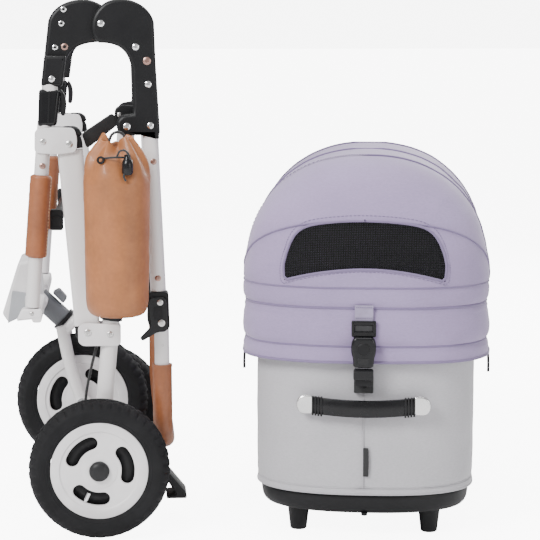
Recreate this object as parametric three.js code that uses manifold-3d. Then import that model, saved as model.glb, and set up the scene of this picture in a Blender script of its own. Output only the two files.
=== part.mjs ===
// A three-wheeled folding pet stroller chassis, folded and standing on its rear wheels,
// beside its detached pet carrier. Millimetres, +Z up, floor at z = 0, chassis front towards -X.
import * as THREE from 'three';
import { mergeVertices } from 'three/addons/utils/BufferGeometryUtils.js';
import Module from 'manifold-3d';

const wasm = await Module();
wasm.setup();

// ---------- driving dimensions ----------
const GAP = 0.3;
const SIDE_PLANE = 198;          // half the distance between the two side frames
const REAR_AXLE = [0, 108];      // pivot places are [x, z] in a side frame
const FRONT_AXLE = [-29.5, 169.3];
const TOP_PIVOT = [7.3, 781];
const ARM_PIVOT = [45.1, 626.4];
const RAIL_TOP = [-41.7, 600.3];
const RAIL_PIVOT = [-16.4, 312.6];
const GRIP_PIVOT = [96, 327];
const BEAM = [88, 72];
const STEER_REF = [-67.3, 307.6];
const STEER_DIR = [0.724, -0.69];
const WHEEL = { radius: 107.5, halfWidth: 26, rimRadius: 74, trackHalf: 240 };
const LEG_RADIUS = 11;
const REAR_RADIUS = 13;
const HANDLE_RADIUS = 12;
const LEG_RIVET = [-81, 604];
const LEG_HEAD = [-78.5, 633.5];
const LEG_FOOT = [-100.6, 351];
const REAR_HEAD = [42.7, 598];
const REAR_FOOT = [1.2, 122];
const HANDLE_TOP = [80.6, 612];
const HANDLE_FOOT = [91.5, 374.6];
const PIN_RADIUS = 5;
const BORE_RADIUS = 5.6;
const ELBOW_SPLIT = 735;         // below this height an elbow is full thickness
const POUCH = { x: 29.6, y: -266.5, bottom: 347, top: 617, radius: 50 };
const CARRIER = { x: 437, y: -18, yaw: -8.35, halfWidth: 169, halfLength: 267, wall: 12 };
const TUB = { baseLow: 38.6, floor: 69, top: 330 };
const HOOD = { halfWidth: 190, halfLength: 284, low: 268, spring: 390, top: 588, shell: 5, run: 150 };
const CORNER = 118;
const HOOP = { place: 120, halfWidth: 176, height: 178, base: 394, radius: 3.5 };
const MIDDLE = [246.546, -21.922];   // middle of everything on the floor: the row's origin
const FOOT = { x: 101, y: 200 };     // feet of the carrier, from its middle

// ---------- materials ----------
const PAINT = {
  white: [0xe4e1e1, 0.35, 0.1],
  black: [0x1f1f21, 0.5, 0],
  tyre: [0x29292b, 0.9, 0],
  grey: [0x55565a, 0.5, 0.1],
  steel: [0xb9bbbe, 0.25, 1],
  leather: [0xb06e4b, 0.6, 0],
  pouch: [0xc48a5f, 0.7, 0],
  lavender: [0xb2a8c3, 0.9, 0],
  fabric: [0xc4c3c6, 0.9, 0],
  mesh: [0x19191b, 1, 0],
};

const assembly = new THREE.Group();
assembly.position.set(-MIDDLE[0], -MIDDLE[1], 0);
const carrier = new THREE.Group();
carrier.position.set(CARRIER.x, CARRIER.y, 0);
carrier.rotation.z = THREE.MathUtils.degToRad(CARRIER.yaw);
assembly.add(carrier);

function add(name, geometry, paint, parent = assembly) {
  const [color, roughness, metalness] = PAINT[paint];
  const mesh = new THREE.Mesh(geometry, new THREE.MeshStandardMaterial({ color, roughness, metalness }));
  mesh.name = name;
  parent.add(mesh);
}

// ---------- solid helpers ----------
function solid(geometry) {
  const bare = new THREE.BufferGeometry();
  bare.setAttribute('position', geometry.getAttribute('position').clone());
  if (geometry.index) {
    bare.setIndex(geometry.index.clone());
  }
  const merged = mergeVertices(bare, 1e-4);
  return new wasm.Manifold(new wasm.Mesh({
    numProp: 3,
    vertProperties: new Float32Array(merged.getAttribute('position').array),
    triVerts: new Uint32Array(merged.index.array),
  }));
}

function geometryOf(manifold) {
  const mesh = manifold.getMesh();
  const geometry = new THREE.BufferGeometry();
  geometry.setAttribute('position', new THREE.BufferAttribute(new Float32Array(mesh.vertProperties), 3));
  geometry.setIndex(new THREE.BufferAttribute(new Uint32Array(mesh.triVerts), 1));
  geometry.computeVertexNormals();
  return geometry;
}

function join(first, ...others) {
  return geometryOf(others.reduce((whole, next) => whole.add(solid(next)), solid(first)));
}

function cut(first, ...others) {
  return geometryOf(others.reduce((whole, next) => whole.subtract(solid(next)), solid(first)));
}

function box(x0, x1, y0, y1, z0, z1) {
  const geometry = new THREE.BoxGeometry(x1 - x0, y1 - y0, z1 - z0);
  return geometry.translate((x0 + x1) / 2, (y0 + y1) / 2, (z0 + z1) / 2);
}

// A straight round bar between two points.
function rod(from, to, radius, sides = 10) {
  const a = new THREE.Vector3(...from);
  const b = new THREE.Vector3(...to);
  const geometry = new THREE.CylinderGeometry(radius, radius, a.distanceTo(b), sides);
  const turn = new THREE.Quaternion();
  turn.setFromUnitVectors(new THREE.Vector3(0, 1, 0), b.clone().sub(a).normalize());
  geometry.applyQuaternion(turn);
  const middle = a.add(b).multiplyScalar(0.5);
  return geometry.translate(middle.x, middle.y, middle.z);
}

// A bar or bore across the frame, along Y.
function cross([x, z], y0, y1, radius, sides = 8) {
  return rod([x, y0, z], [x, y1, z], radius, sides);
}

// A round bar along a curve.
function bentRod(points, radius, steps, sides = 8) {
  const path = new THREE.CatmullRomCurve3(points.map((p) => new THREE.Vector3(...p)), false, 'centripetal');
  const section = new THREE.Shape();
  for (let i = 0; i < sides; i += 1) {
    const angle = (i / sides) * 2 * Math.PI;
    const method = i === 0 ? 'moveTo' : 'lineTo';
    section[method](radius * Math.cos(angle), radius * Math.sin(angle));
  }
  section.closePath();
  return new THREE.ExtrudeGeometry(section, { steps, extrudePath: path, bevelEnabled: false });
}

// A flat plate whose outline is drawn in x and z, lying between two y values.
function plate(outline, y0, y1, curveSegments = 8) {
  const low = Math.min(y0, y1);
  const high = Math.max(y0, y1);
  const geometry = new THREE.ExtrudeGeometry(outline, { depth: high - low, bevelEnabled: false, curveSegments });
  geometry.rotateX(Math.PI / 2);
  return geometry.translate(0, high, 0);
}

function polygon(points) {
  return new THREE.Shape(points.map(([x, z]) => new THREE.Vector2(x, z)));
}

// A plate with round ends of different radii at two pivots.
function link([ax, az], ra, [bx, bz], rb) {
  const along = Math.atan2(bz - az, bx - ax);
  const shape = new THREE.Shape();
  shape.absarc(ax, az, ra, along + Math.PI / 2, along + (3 * Math.PI) / 2, false);
  shape.absarc(bx, bz, rb, along - Math.PI / 2, along + Math.PI / 2, false);
  shape.closePath();
  return shape;
}

// A ring or disc turned about the Y axis through a pivot; profile points are [radius, y].
function turned(profile, [x, z], segments = 28) {
  const geometry = new THREE.LatheGeometry(profile.map(([r, y]) => new THREE.Vector2(r, y)), segments);
  return geometry.translate(x, 0, z);
}

function ringProfile(inner, outer, y0, y1) {
  return [[inner, y0], [outer, y0], [outer, y1], [inner, y1], [inner, y0]];
}

function steerPoint(along, aside) {
  return [
    STEER_REF[0] + along * STEER_DIR[0] + aside * STEER_DIR[1],
    STEER_REF[1] + along * STEER_DIR[1] - aside * STEER_DIR[0],
  ];
}

// ---------- wheels ----------
function tyreProfile(middle) {
  const { radius, halfWidth, rimRadius } = WHEEL;
  const profile = [[rimRadius + GAP, middle - 19]];
  const steps = 6;
  for (let i = 0; i <= steps; i += 1) {
    const angle = -1.25 + (2.5 * i) / steps;
    const crown = (radius + rimRadius) / 2 - 4;
    profile.push([crown + (radius - crown) * Math.cos(angle), middle + halfWidth * Math.sin(angle)]);
  }
  profile.push([rimRadius + GAP, middle + 19], [rimRadius + GAP, middle - 19]);
  return profile;
}

function rim(middle, face) {
  const barrel = turned(ringProfile(62, WHEEL.rimRadius, middle - 19, middle + 19), [0, 0]);
  const web = turned([[0, face * 11], [66, face * 11], [66, face * 18], [0, face * 18]]
    .map(([r, y]) => [r, middle + y]), [0, 0]);
  const hub = cross([0, 0], middle - 20, middle + 20, 17);
  const slots = [0, 1, 2].map((i) => {
    const start = (i * 2 * Math.PI) / 3 + 0.2;
    const slot = new THREE.Shape();
    slot.absarc(0, 0, 54, start, start + 1.3, false);
    slot.absarc(0, 0, 34, start + 1.15, start + 0.15, true);
    slot.closePath();
    return plate(slot, middle - 22, middle + 22, 4);
  });
  return cut(join(barrel, orient(web), hub), ...slots, cross([0, 0], middle - 30, middle + 30, BORE_RADIUS));
}

// LatheGeometry faces outward only for profiles that run one way, so a solid inside out is turned over.
function orient(geometry) {
  const manifold = solid(geometry);
  if (manifold.volume() > 0) {
    return geometry;
  }
  const index = geometry.index.array;
  for (let i = 0; i < index.length; i += 3) {
    [index[i + 1], index[i + 2]] = [index[i + 2], index[i + 1]];
  }
  return geometry;
}

function wheel(prefix, [x, z], middle, face) {
  add(`${prefix}_tyre`, orient(turned(tyreProfile(middle), [x, z])), 'tyre');
  add(`${prefix}_rim`, rim(middle, face).translate(x, 0, z), 'white');
}

function rearWheel(prefix, side) {
  const middle = side * WHEEL.trackHalf;
  wheel(prefix, REAR_AXLE, middle, side);
  const inner = middle + side * 20.4;
  const cap = turned([[0, inner], [15.5, inner], [15, inner + side * 5], [9, inner + side * 8.5],
    [0, inner + side * 9.5]], REAR_AXLE, 24);
  add(`${prefix}_hub_cap`, orient(cap), 'grey');
}

function addSides(name, make, paint) {
  add(`near_${name}`, make(-1), paint);
  add(`far_${name}`, make(1), paint);
}

// ---------- side frames ----------
function handleElbowOutline() {
  const shape = new THREE.Shape();
  shape.moveTo(7, 807);
  shape.bezierCurveTo(18, 817, 30, 818.5, 44, 817.5);
  shape.bezierCurveTo(68, 814, 84, 798, 87, 782);
  shape.lineTo(96, 612.6);
  shape.lineTo(45.1, 612.6);
  shape.absarc(45.1, 628.6, 16, -Math.PI / 2, Math.PI / 2, true);
  shape.lineTo(55, 652);
  shape.lineTo(53, 712);
  shape.bezierCurveTo(48, 742, 34, 752, 4, 752);
  shape.bezierCurveTo(-11, 762, -12, 790, 7, 807);
  return shape;
}

function legElbowOutline() {
  const shape = new THREE.Shape();
  shape.moveTo(7.3, 807);
  shape.bezierCurveTo(0, 815, -12, 818.5, -27, 817);
  shape.bezierCurveTo(-52, 813, -66, 802, -72, 785);
  shape.lineTo(-82.9, 694);
  shape.lineTo(-48, 694);
  shape.lineTo(-46.5, 722);
  shape.bezierCurveTo(-42, 742, -26, 752, 6, 753);
  shape.bezierCurveTo(28, 760, 28, 800, 7.3, 807);
  return shape;
}

// An elbow is thin at the top pivot, where the two elbows lap, and full thickness round its tube.
function elbow(outline, side, layer, splitHeight) {
  const [near, far] = layer.map((y) => side * y);
  const arm = plate(outline, near, far, 4);
  const sleeve = plate(outline, side * 185.5, side * 210.5, 4);
  const below = side > 0 ? box(-200, 200, 180, 220, 500, splitHeight) : box(-200, 200, -220, -180, 500, splitHeight);
  const thick = geometryOf(solid(sleeve).intersect(solid(below)));
  return join(arm, thick);
}

function sideSpan(side, inner, outer) {
  return side > 0 ? [inner, outer] : [-outer, -inner];
}

function sideBox(side, x0, x1, inner, outer, z0, z1) {
  const [y0, y1] = sideSpan(side, inner, outer);
  return box(x0, x1, y0, y1, z0, z1);
}

function handleElbow(side) {
  const elbowSolid = elbow(handleElbowOutline(), side, [198.3, 210.5], ELBOW_SPLIT);
  const slotted = cut(elbowSolid, sideBox(side, 0, 61, 191.2, 204.8, 606, 655));
  return join(slotted, headedPin(side, TOP_PIVOT, 185.2, 210.4), headedPin(side, ARM_PIVOT, 185.6, 210.4));
}

function pinBore(place, side) {
  return cross(place, side * 170, side * 220, BORE_RADIUS);
}

function handleTube(side) {
  const y = side * SIDE_PLANE;
  return rod([HANDLE_TOP[0], y, HANDLE_TOP[1]], [HANDLE_FOOT[0], y, HANDLE_FOOT[1]], HANDLE_RADIUS);
}

function handleAdjuster(side) {
  const cheek = polygon([[76, 374], [107, 374], [109, 318], [98, 312], [80, 316], [74, 330]]);
  const housing = join(plate(cheek, side * 183.5, side * 186.5),
    plate(cheek, side * 209.5, side * 212.5),
    sideBox(side, 78, 106, 184, 212, 345, 374));
  return join(housing, headedPin(side, GRIP_PIVOT, 183.6, 216.7));
}

function adjusterLever(side) {
  const lever = new THREE.Shape();
  lever.moveTo(77, 361);
  lever.lineTo(102, 363);
  lever.lineTo(106, 322);
  lever.bezierCurveTo(104, 312, 96, 312, 90, 313);
  lever.lineTo(66, 299);
  lever.lineTo(63, 305);
  lever.lineTo(80, 322);
  lever.closePath();
  return cut(plate(lever, side * 212.9, side * 216.4), pinBore(GRIP_PIVOT, side));
}

function legElbow(side) {
  const lockSleeve = plate(polygon([[-83, 696], [-54, 696], [-67, 635], [-90, 635]]), side * 185.5, side * 210.5);
  const arm = elbow(legElbowOutline(), side, [185.5, 197.7], ELBOW_SPLIT);
  return cut(join(arm, lockSleeve), pinBore(TOP_PIVOT, side));
}

function lockTrigger(side) {
  const trigger = new THREE.Shape();
  trigger.moveTo(-53.5, 690);
  trigger.quadraticCurveTo(-44, 670, -48, 648);
  trigger.lineTo(-55, 652);
  trigger.quadraticCurveTo(-53, 668, -56.6, 680);
  trigger.closePath();
  return plate(trigger, side * 191, side * 205);
}

function legTube(side, radius) {
  const y = side * SIDE_PLANE;
  return rod([LEG_HEAD[0], y, LEG_HEAD[1]], [LEG_FOOT[0], y, LEG_FOOT[1]], radius);
}

function frontLeg(side) {
  return cut(legTube(side, LEG_RADIUS), cross(LEG_RIVET, side * 180, side * 220, 3.5 + GAP));
}

function legBracket(side) {
  const bracket = polygon([[-92, 622], [-62, 626], [-30, 624], [-29, 590], [-34, 584], [-92, 586]]);
  return join(plate(bracket, side * 209.5, side * 212.5), plate(bracket, side * 183.5, side * 186.5),
    cross(LEG_RIVET, side * 184, side * 213.5, 3.5, 10));
}

function legSleeve(side) {
  const y = side * SIDE_PLANE;
  const top = [-84.8, 553];
  const bottom = [-94.7, 427];
  const skin = rod([top[0], y, top[1]], [bottom[0], y, bottom[1]], 16.5, 12);
  return cut(skin, legTube(side, LEG_RADIUS + GAP));
}

function rearTube(side, radius) {
  const y = side * SIDE_PLANE;
  return rod([REAR_HEAD[0], y, REAR_HEAD[1]], [REAR_FOOT[0], y, REAR_FOOT[1]], radius);
}

function rearLeg(side) {
  const eye = plate(link(ARM_PIVOT, 13, [42.5, 592], 12.5), side * 191.5, side * 204.5);
  const foot = cross(REAR_AXLE, side * 185.5, side * 211, 18, 20);
  const pinHole = cross(REAR_AXLE, side * 186.7, side * 220, BORE_RADIUS);
  return cut(join(rearTube(side, REAR_RADIUS), eye, foot), pinHole, pinBore(ARM_PIVOT, side));
}

function railBracket(side) {
  const bracket = polygon([[-31, 322], [-22, 327.5], [30, 325], [34, 320], [34, 295], [28, 291.5], [-24, 292],
    [-31, 298]]);
  const plates = join(plate(bracket, side * 211.3, side * 214.3), plate(bracket, side * 181.7, side * 184.7));
  return join(plates, headedPin(side, RAIL_PIVOT, 181.8, 214.2));
}

function rail(side) {
  const blade = plate(link(RAIL_TOP, 19.5, RAIL_PIVOT, 19.5), side * 189, side * 207);
  return cut(blade, pinBore(RAIL_PIVOT, side));
}

function axlePin(side) {
  return cross(REAR_AXLE, side * 187, side * 259.5, PIN_RADIUS);
}

// A pivot pin with a flat head at each end.
function headedPin(side, place, inner, outer) {
  return join(cross(place, side * outer, side * inner, PIN_RADIUS),
    cross(place, side * (outer + 2.5), side * outer, 9),
    cross(place, side * inner, side * (inner - 2.5), 9));
}

// ---------- parts across the frame ----------
function frontBridge() {
  const nose = polygon([[-156, 318], [-128, 402], [-101, 408], [-92, 347], [-82, 336], [-94, 312], [-108, 322],
    [-146, 303]]);
  const end = polygon([[-116, 349.5], [-86, 349.5], [-84, 334], [-126, 330]]);
  const middle = plate(nose, -58, 58);
  const wings = [-1, 1].map((side) => {
    const outline = new THREE.Shape();
    outline.moveTo(-118, 46 * side);
    outline.lineTo(-100, 209 * side);
    outline.lineTo(-86, 209 * side);
    outline.lineTo(-86, 46 * side);
    outline.closePath();
    const wing = new THREE.ExtrudeGeometry(outline, { depth: 22, bevelEnabled: false });
    return orient(wing.translate(0, 0, 327.5));
  });
  const foot = [-1, 1].map((side) => plate(end, side * 186, side * 210));
  const headBore = rod(axisPoint(-70), axisPoint(12), 17 + GAP, 16);
  return cut(join(middle, ...wings, ...foot), headBore);
}

// A point on the steering axis, measured along it.
function axisPoint(along) {
  const [x, z] = steerPoint(along, 0);
  return [x, 0, z];
}

function steeringHead() {
  return join(rod(axisPoint(-44), axisPoint(12), 17, 16), rod(axisPoint(9), axisPoint(14.5), 21, 20));
}

function fork() {
  const crown = new THREE.BoxGeometry(12, 88, 40);
  const turn = Math.atan2(-STEER_DIR[1], STEER_DIR[0]);
  crown.rotateY(turn);
  const [cx, cz] = steerPoint(21.4, 0);
  crown.translate(cx, 0, cz);
  const arms = [-1, 1].map((side) => plate(link(steerPoint(27, 2), 18, FRONT_AXLE, 14), side * 32, side * 43.9));
  const bore = cross(FRONT_AXLE, -60, 60, BORE_RADIUS);
  return cut(join(crown, ...arms), bore);
}

function handleBow() {
  const y = SIDE_PLANE;
  const half = [[96, y, 332], [97, y, 260], [97.5, y, 205], [98, y - 12, 172], [100, 158, 146], [103, 112, 126],
    [104, 50, 121]];
  const mirrored = half.map(([x, across, z]) => [x, -across, z]).reverse();
  const points = [...half, ...mirrored];
  const bar = bentRod(points, 10.6, 28, 8);
  const holes = [-1, 1].map((side) => cross(GRIP_PIVOT, side * 170, side * 220, BORE_RADIUS));
  return { points, bar: cut(bar, ...holes) };
}

function rearBeam() {
  const tube = cross(BEAM, -176, 176, 11, 16);
  const arms = [-1, 1].map((side) => plate(link(REAR_AXLE, 17, BEAM, 15), side * 175, side * 184.7));
  return join(tube, ...arms);
}

function brakePedal() {
  const ring = turned(ringProfile(11.3, 16, -150, -96), BEAM, 20);
  const tread = plate(polygon([[101, 66], [101, 77], [109, 76], [136, 43], [136, 35], [104, 35], [104, 40.5],
    [119, 42], [107, 62]]), -150, -96);
  return join(orient(ring), tread);
}

function brakeCable() {
  const y = -SIDE_PLANE;
  return bentRod([[-3.6, y, 288], [-12, y, 255], [-21, y, 205], [-22, y, 160], [-19.5, y, 130]], 2.2, 16, 8);
}

function pouch() {
  const { x, y, bottom, top, radius } = POUCH;
  const profile = [[0, bottom], [30, bottom], [44, bottom + 8], [radius - 1, bottom + 26], [radius, bottom + 150],
    [radius - 5, bottom + 215], [36, bottom + 238], [20, bottom + 250], [24, top - 4], [0, top]];
  const geometry = orient(new THREE.LatheGeometry(profile.map(([r, z]) => new THREE.Vector2(r, z)), 24));
  geometry.rotateX(Math.PI / 2);
  return geometry.translate(x, y, 0);
}

function pouchCollar() {
  const y = -SIDE_PLANE;
  const skin = rod([20.2, y, 339.5], [18.8, y, 330], 17.5);
  return cut(skin, rearTube(-1, REAR_RADIUS + GAP));
}

// ---------- carrier ----------
// The plan outline of the carrier is a rounded rectangle, given as points that turn anticlockwise.
function planRing(halfWidth, halfLength, corner, perCorner = 4) {
  const radius = Math.min(corner, halfWidth - 1, halfLength - 1);
  const ring = [];
  for (let quarter = 0; quarter < 4; quarter += 1) {
    const sx = quarter === 0 || quarter === 3 ? 1 : -1;
    const sy = quarter < 2 ? 1 : -1;
    for (let i = 0; i <= perCorner; i += 1) {
      const angle = (quarter + i / perCorner) * (Math.PI / 2);
      ring.push([sx * (halfWidth - radius) + radius * Math.cos(angle),
        sy * (halfLength - radius) + radius * Math.sin(angle)]);
    }
  }
  return ring;
}

// A closed solid through a stack of plan outlines that have the same number of points.
function loft(rings) {
  const count = rings[0].outline.length;
  const positions = [];
  const index = [];
  rings.forEach(({ outline, z }) => outline.forEach(([x, y]) => positions.push(x, y, z)));
  for (let level = 0; level < rings.length - 1; level += 1) {
    for (let i = 0; i < count; i += 1) {
      const a = level * count + i;
      const b = level * count + ((i + 1) % count);
      index.push(a, b, b + count, a, b + count, a + count);
    }
  }
  const last = (rings.length - 1) * count;
  for (let i = 1; i < count - 1; i += 1) {
    index.push(0, i + 1, i);
    index.push(last, last + i, last + i + 1);
  }
  const geometry = new THREE.BufferGeometry();
  geometry.setAttribute('position', new THREE.BufferAttribute(new Float32Array(positions), 3));
  geometry.setIndex(index);
  return geometry;
}

function planBlock(halfWidth, halfLength, corner, z0, z1) {
  const outline = planRing(halfWidth, halfLength, corner);
  return loft([{ outline, z: z0 }, { outline, z: z1 }]);
}

// The hood is straight up to the spring line, then closes in along superelliptic arches.
function hoodSolid(inset) {
  const { halfWidth, halfLength, low, spring, top, run } = HOOD;
  const rise = top - spring;
  const levels = [0, 0.25, 0.5, 0.7, 0.84, 0.93, 0.975];
  const rings = levels.map((share) => {
    const across = (1 - share ** 2.25) ** (1 / 2.25);
    const back = run * (1 - Math.sqrt(1 - share ** 2));
    return {
      outline: planRing(halfWidth * across - inset, halfLength - back - inset, CORNER * across + 4),
      z: spring + share * rise - inset * share,
    };
  });
  rings.unshift({ outline: planRing(halfWidth - inset, halfLength - inset, CORNER), z: low - inset });
  return loft(rings);
}

function hoop(y) {
  const { halfWidth, height, base, radius } = HOOP;
  const points = [];
  const steps = 12;
  for (let i = 0; i <= steps; i += 1) {
    const angle = Math.PI * (i / steps);
    const cos = Math.cos(angle);
    const sin = Math.sin(angle);
    points.push([Math.sign(cos) * halfWidth * Math.abs(cos) ** 0.89, y, base + height * sin ** 0.89]);
  }
  return bentRod(points, radius, 16, 6);
}

function windowPrism(grow) {
  const shape = new THREE.Shape();
  shape.moveTo(-114 - grow, 398 - grow);
  shape.quadraticCurveTo(0, 428 - 2 * grow, 114 + grow, 398 - grow);
  shape.lineTo(116 + grow, 440);
  shape.quadraticCurveTo(60, 476 + 2 * grow, 0, 480 + grow);
  shape.quadraticCurveTo(-60, 476 + 2 * grow, -116 - grow, 440);
  shape.closePath();
  return plate(shape, -300, -200, 8);
}

function carrierParts() {
  const { halfWidth, halfLength, wall } = CARRIER;
  const front = -halfLength;
  const inner = halfWidth - wall;
  const feet = [-1, 1].flatMap((sx) => [-1, 1].map((sy) => {
    const foot = new THREE.CylinderGeometry(17, 13, TUB.baseLow + 4, 16);
    return foot.rotateX(Math.PI / 2).translate(sx * FOOT.x, sy * FOOT.y, (TUB.baseLow + 4) / 2);
  }));
  add('carrier_base', join(planBlock(halfWidth - 8, halfLength - 8, CORNER - 8, TUB.baseLow, TUB.floor), ...feet),
    'black', carrier);
  add('carrier_wall', cut(planBlock(halfWidth, halfLength, CORNER, TUB.floor + GAP, TUB.top),
    planBlock(inner, halfLength - wall, CORNER - wall, TUB.floor, TUB.top + 1)), 'fabric', carrier);
  add('carrier_mat', planBlock(inner - 3, halfLength - wall - 3, CORNER - wall - 3, TUB.floor + GAP, TUB.floor + 22),
    'fabric', carrier);
  add('carrier_rim_frame', cut(planBlock(halfWidth, halfLength, CORNER, TUB.top + GAP, TUB.top + 9),
    planBlock(inner + 2, halfLength - wall + 2, CORNER - wall, TUB.top, TUB.top + 10)), 'steel', carrier);

  const shell = geometryOf(solid(hoodSolid(0)).subtract(solid(hoodSolid(HOOD.shell))));
  add('hood', cut(shell, windowPrism(GAP)), 'lavender', carrier);
  add('hood_window', geometryOf(solid(shell).intersect(solid(windowPrism(0)))), 'mesh', carrier);
  add('hood_front_hoop', hoop(-HOOP.place), 'steel', carrier);
  add('hood_rear_hoop', hoop(HOOP.place), 'steel', carrier);

  const hoodFace = -HOOD.halfLength;
  add('buckle_strap', box(-14, 14, hoodFace - 2.5, hoodFace - GAP, 342, 364), 'lavender', carrier);
  add('buckle_clip', join(box(-18, 18, hoodFace - 8, hoodFace - GAP, 316, 341.7),
    box(-17, 17, hoodFace - 16, hoodFace - 1, 270, 318)), 'black', carrier);
  add('buckle_catch', join(box(-15, 15, hoodFace - 15, hoodFace - 2, 252, 269.7),
    box(-14, 14, front - 8, front - GAP, 226, 262),
    box(-12, 12, hoodFace - 8, front - 4, 246, 262)), 'black', carrier);
  const handle = new THREE.Shape();
  handle.moveTo(-76, front - 4);
  handle.quadraticCurveTo(0, front - 34, 76, front - 4);
  handle.lineTo(76, front - 9.5);
  handle.quadraticCurveTo(0, front - 42, -76, front - 9.5);
  handle.closePath();
  const strap = new THREE.ExtrudeGeometry(handle, { depth: 26, bevelEnabled: false, curveSegments: 14 });
  strap.translate(0, 0, 196);
  const plates = [-1, 1].map((side) => {
    const x0 = side > 0 ? 75 : -100;
    return box(x0, x0 + 25, front - 9, front - GAP, 196, 226);
  });
  add('carrier_handle', join(orient(strap), ...plates), 'black', carrier);
}

// ---------- assembly ----------
rearWheel('near_rear', -1);
rearWheel('far_rear', 1);
wheel('front', FRONT_AXLE, 0, -1);
addSides('axle_pin', axlePin, 'steel');
addSides('handle_elbow', handleElbow, 'black');
addSides('handle_tube', handleTube, 'white');
addSides('handle_adjuster', handleAdjuster, 'black');
addSides('adjuster_lever', adjusterLever, 'black');
addSides('leg_elbow', legElbow, 'black');
addSides('lock_trigger', lockTrigger, 'black');
addSides('front_leg', frontLeg, 'white');
addSides('leg_bracket', legBracket, 'white');
addSides('leg_sleeve', legSleeve, 'leather');
addSides('rear_leg', rearLeg, 'white');
addSides('rail_bracket', railBracket, 'white');
addSides('rail', rail, 'white');
add('front_axle_bolt', join(cross(FRONT_AXLE, -44.2, 44.2, PIN_RADIUS), cross(FRONT_AXLE, -50, -44.2, 9, 12),
  cross(FRONT_AXLE, 44.2, 50, 9, 12)), 'steel');
add('fork', fork(), 'white');
add('steering_head', steeringHead(), 'grey');
add('front_bridge', frontBridge(), 'white');
add('leg_cross_bar', join(cross([-62, 480], -184, 184, 8, 12),
  ...[-1, 1].map((side) => plate(polygon([[-73, 498], [-53, 498], [-53, 466], [-73, 466]]),
    side * 165, side * 182))), 'black');
add('rail_cross_bar', cross([-29, 450], -188.7, 188.7, 8, 12), 'black');
const bow = handleBow();
add('handle_bow', bow.bar, 'white');
add('rear_beam', rearBeam(), 'black');
add('brake_pedal', brakePedal(), 'black');
add('brake_cable', brakeCable(), 'black');
add('storage_pouch', pouch(), 'pouch');
add('pouch_collar', pouchCollar(), 'black');
const gripPath = bow.points.slice(2, -2);
gripPath.unshift([97, SIDE_PLANE, 259]);
gripPath.push([97, -SIDE_PLANE, 259]);
add('handle_grip', cut(bentRod(gripPath, 15, 22, 8), bentRod(bow.points, 11.3, 28, 8)), 'leather');
add('caster_lock', plate(polygon([[-78, 345], [-66, 352], [-52, 336], [-60, 326]]), -12, 12), 'grey');
carrierParts();

export default assembly;
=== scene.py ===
# A folded three-wheel pet stroller chassis beside its detached carrier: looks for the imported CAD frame.
# Lengths are millimetres from the floor point under the rear axle; the mesh helpers turn them into metres.
import bmesh
import bpy
import math
from mathutils import Matrix, Vector, noise


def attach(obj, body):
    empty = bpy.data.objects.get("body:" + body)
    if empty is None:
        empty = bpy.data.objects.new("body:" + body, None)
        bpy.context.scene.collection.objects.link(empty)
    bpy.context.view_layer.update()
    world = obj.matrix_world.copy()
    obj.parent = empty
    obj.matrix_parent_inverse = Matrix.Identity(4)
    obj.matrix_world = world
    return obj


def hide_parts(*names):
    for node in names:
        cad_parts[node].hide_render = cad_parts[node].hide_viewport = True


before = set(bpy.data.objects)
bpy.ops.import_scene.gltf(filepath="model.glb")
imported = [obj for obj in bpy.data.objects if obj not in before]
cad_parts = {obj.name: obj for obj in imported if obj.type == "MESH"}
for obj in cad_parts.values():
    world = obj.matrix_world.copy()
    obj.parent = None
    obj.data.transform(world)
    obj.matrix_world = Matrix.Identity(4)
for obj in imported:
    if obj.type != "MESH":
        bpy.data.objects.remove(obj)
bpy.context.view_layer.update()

# ---------- driving dimensions, as in the CAD ----------
SIDE_PLANE = 198
REAR_AXLE = (0, 108)
FRONT_AXLE = (-29.5, 169.3)
TOP_PIVOT = (7.3, 781)
ARM_PIVOT = (45.1, 626.4)
RAIL_TOP = (-41.7, 600.3)
RAIL_PIVOT = (-16.4, 312.6)
GRIP_PIVOT = (96, 327)
BEAM = (88, 72)
STEER_REF = (-67.3, 307.6)
STEER_DIR = (0.724, -0.69)
LEG_HEAD = (-78.5, 633.5)
LEG_FOOT = (-100.6, 351)
HANDLE_TOP = (80.6, 612)
HANDLE_FOOT = (91.5, 374.6)
REAR_HEAD = (42.7, 598)
REAR_FOOT = (1.2, 122)
ELBOW_INNER, ELBOW_OUTER = 185.8, 210.3   # both faces of an elbow where it is full thickness
ELBOW_SPLIT = 735                 # below this height it is
WHEEL_RADIUS = 107.5
TRACK_HALF = 240
RIM_RADIUS = 74
CARRIER_X, CARRIER_Y, CARRIER_YAW = 437, -18, math.radians(-8.35)
WALL_HALF_WIDTH, WALL_HALF_LENGTH = 169, 267
FOOT_X, FOOT_Y = 101, 200         # feet of the carrier, from its middle
HOOD_HALF_WIDTH, HOOD_HALF_LENGTH = 190, 284
WINDOW_HALF = 121
HOOD_SPRING, HOOD_TOP, HOOD_RUN = 390, 580, 150
END_DEPTH = 118
SIDES = (("near", -1), ("far", 1))
HOOD_HEM = 275                    # the cloth ends this high, just above the shell of the CAD
AMBIENT, BACKDROP = 0.55, 9.0     # strength of the soft light all round, and of the white backdrop
FLOOR_GLOW = 8.0                  # lifts the floor to the backdrop's white where it is looked at
LENS = 127.467                    # focal length for a 36 mm wide film
SHIFT = (0.06, -0.066)
CAMERA_PLACE = (39.0, -3097.7, 796.2)
CAMERA_PAN, CAMERA_TILT = 0.06, 0.1152
# The floor point under the rear axle is ORIGIN away from the row's own origin.
ORIGIN = Vector((-246.546, 21.922, 0))


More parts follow.
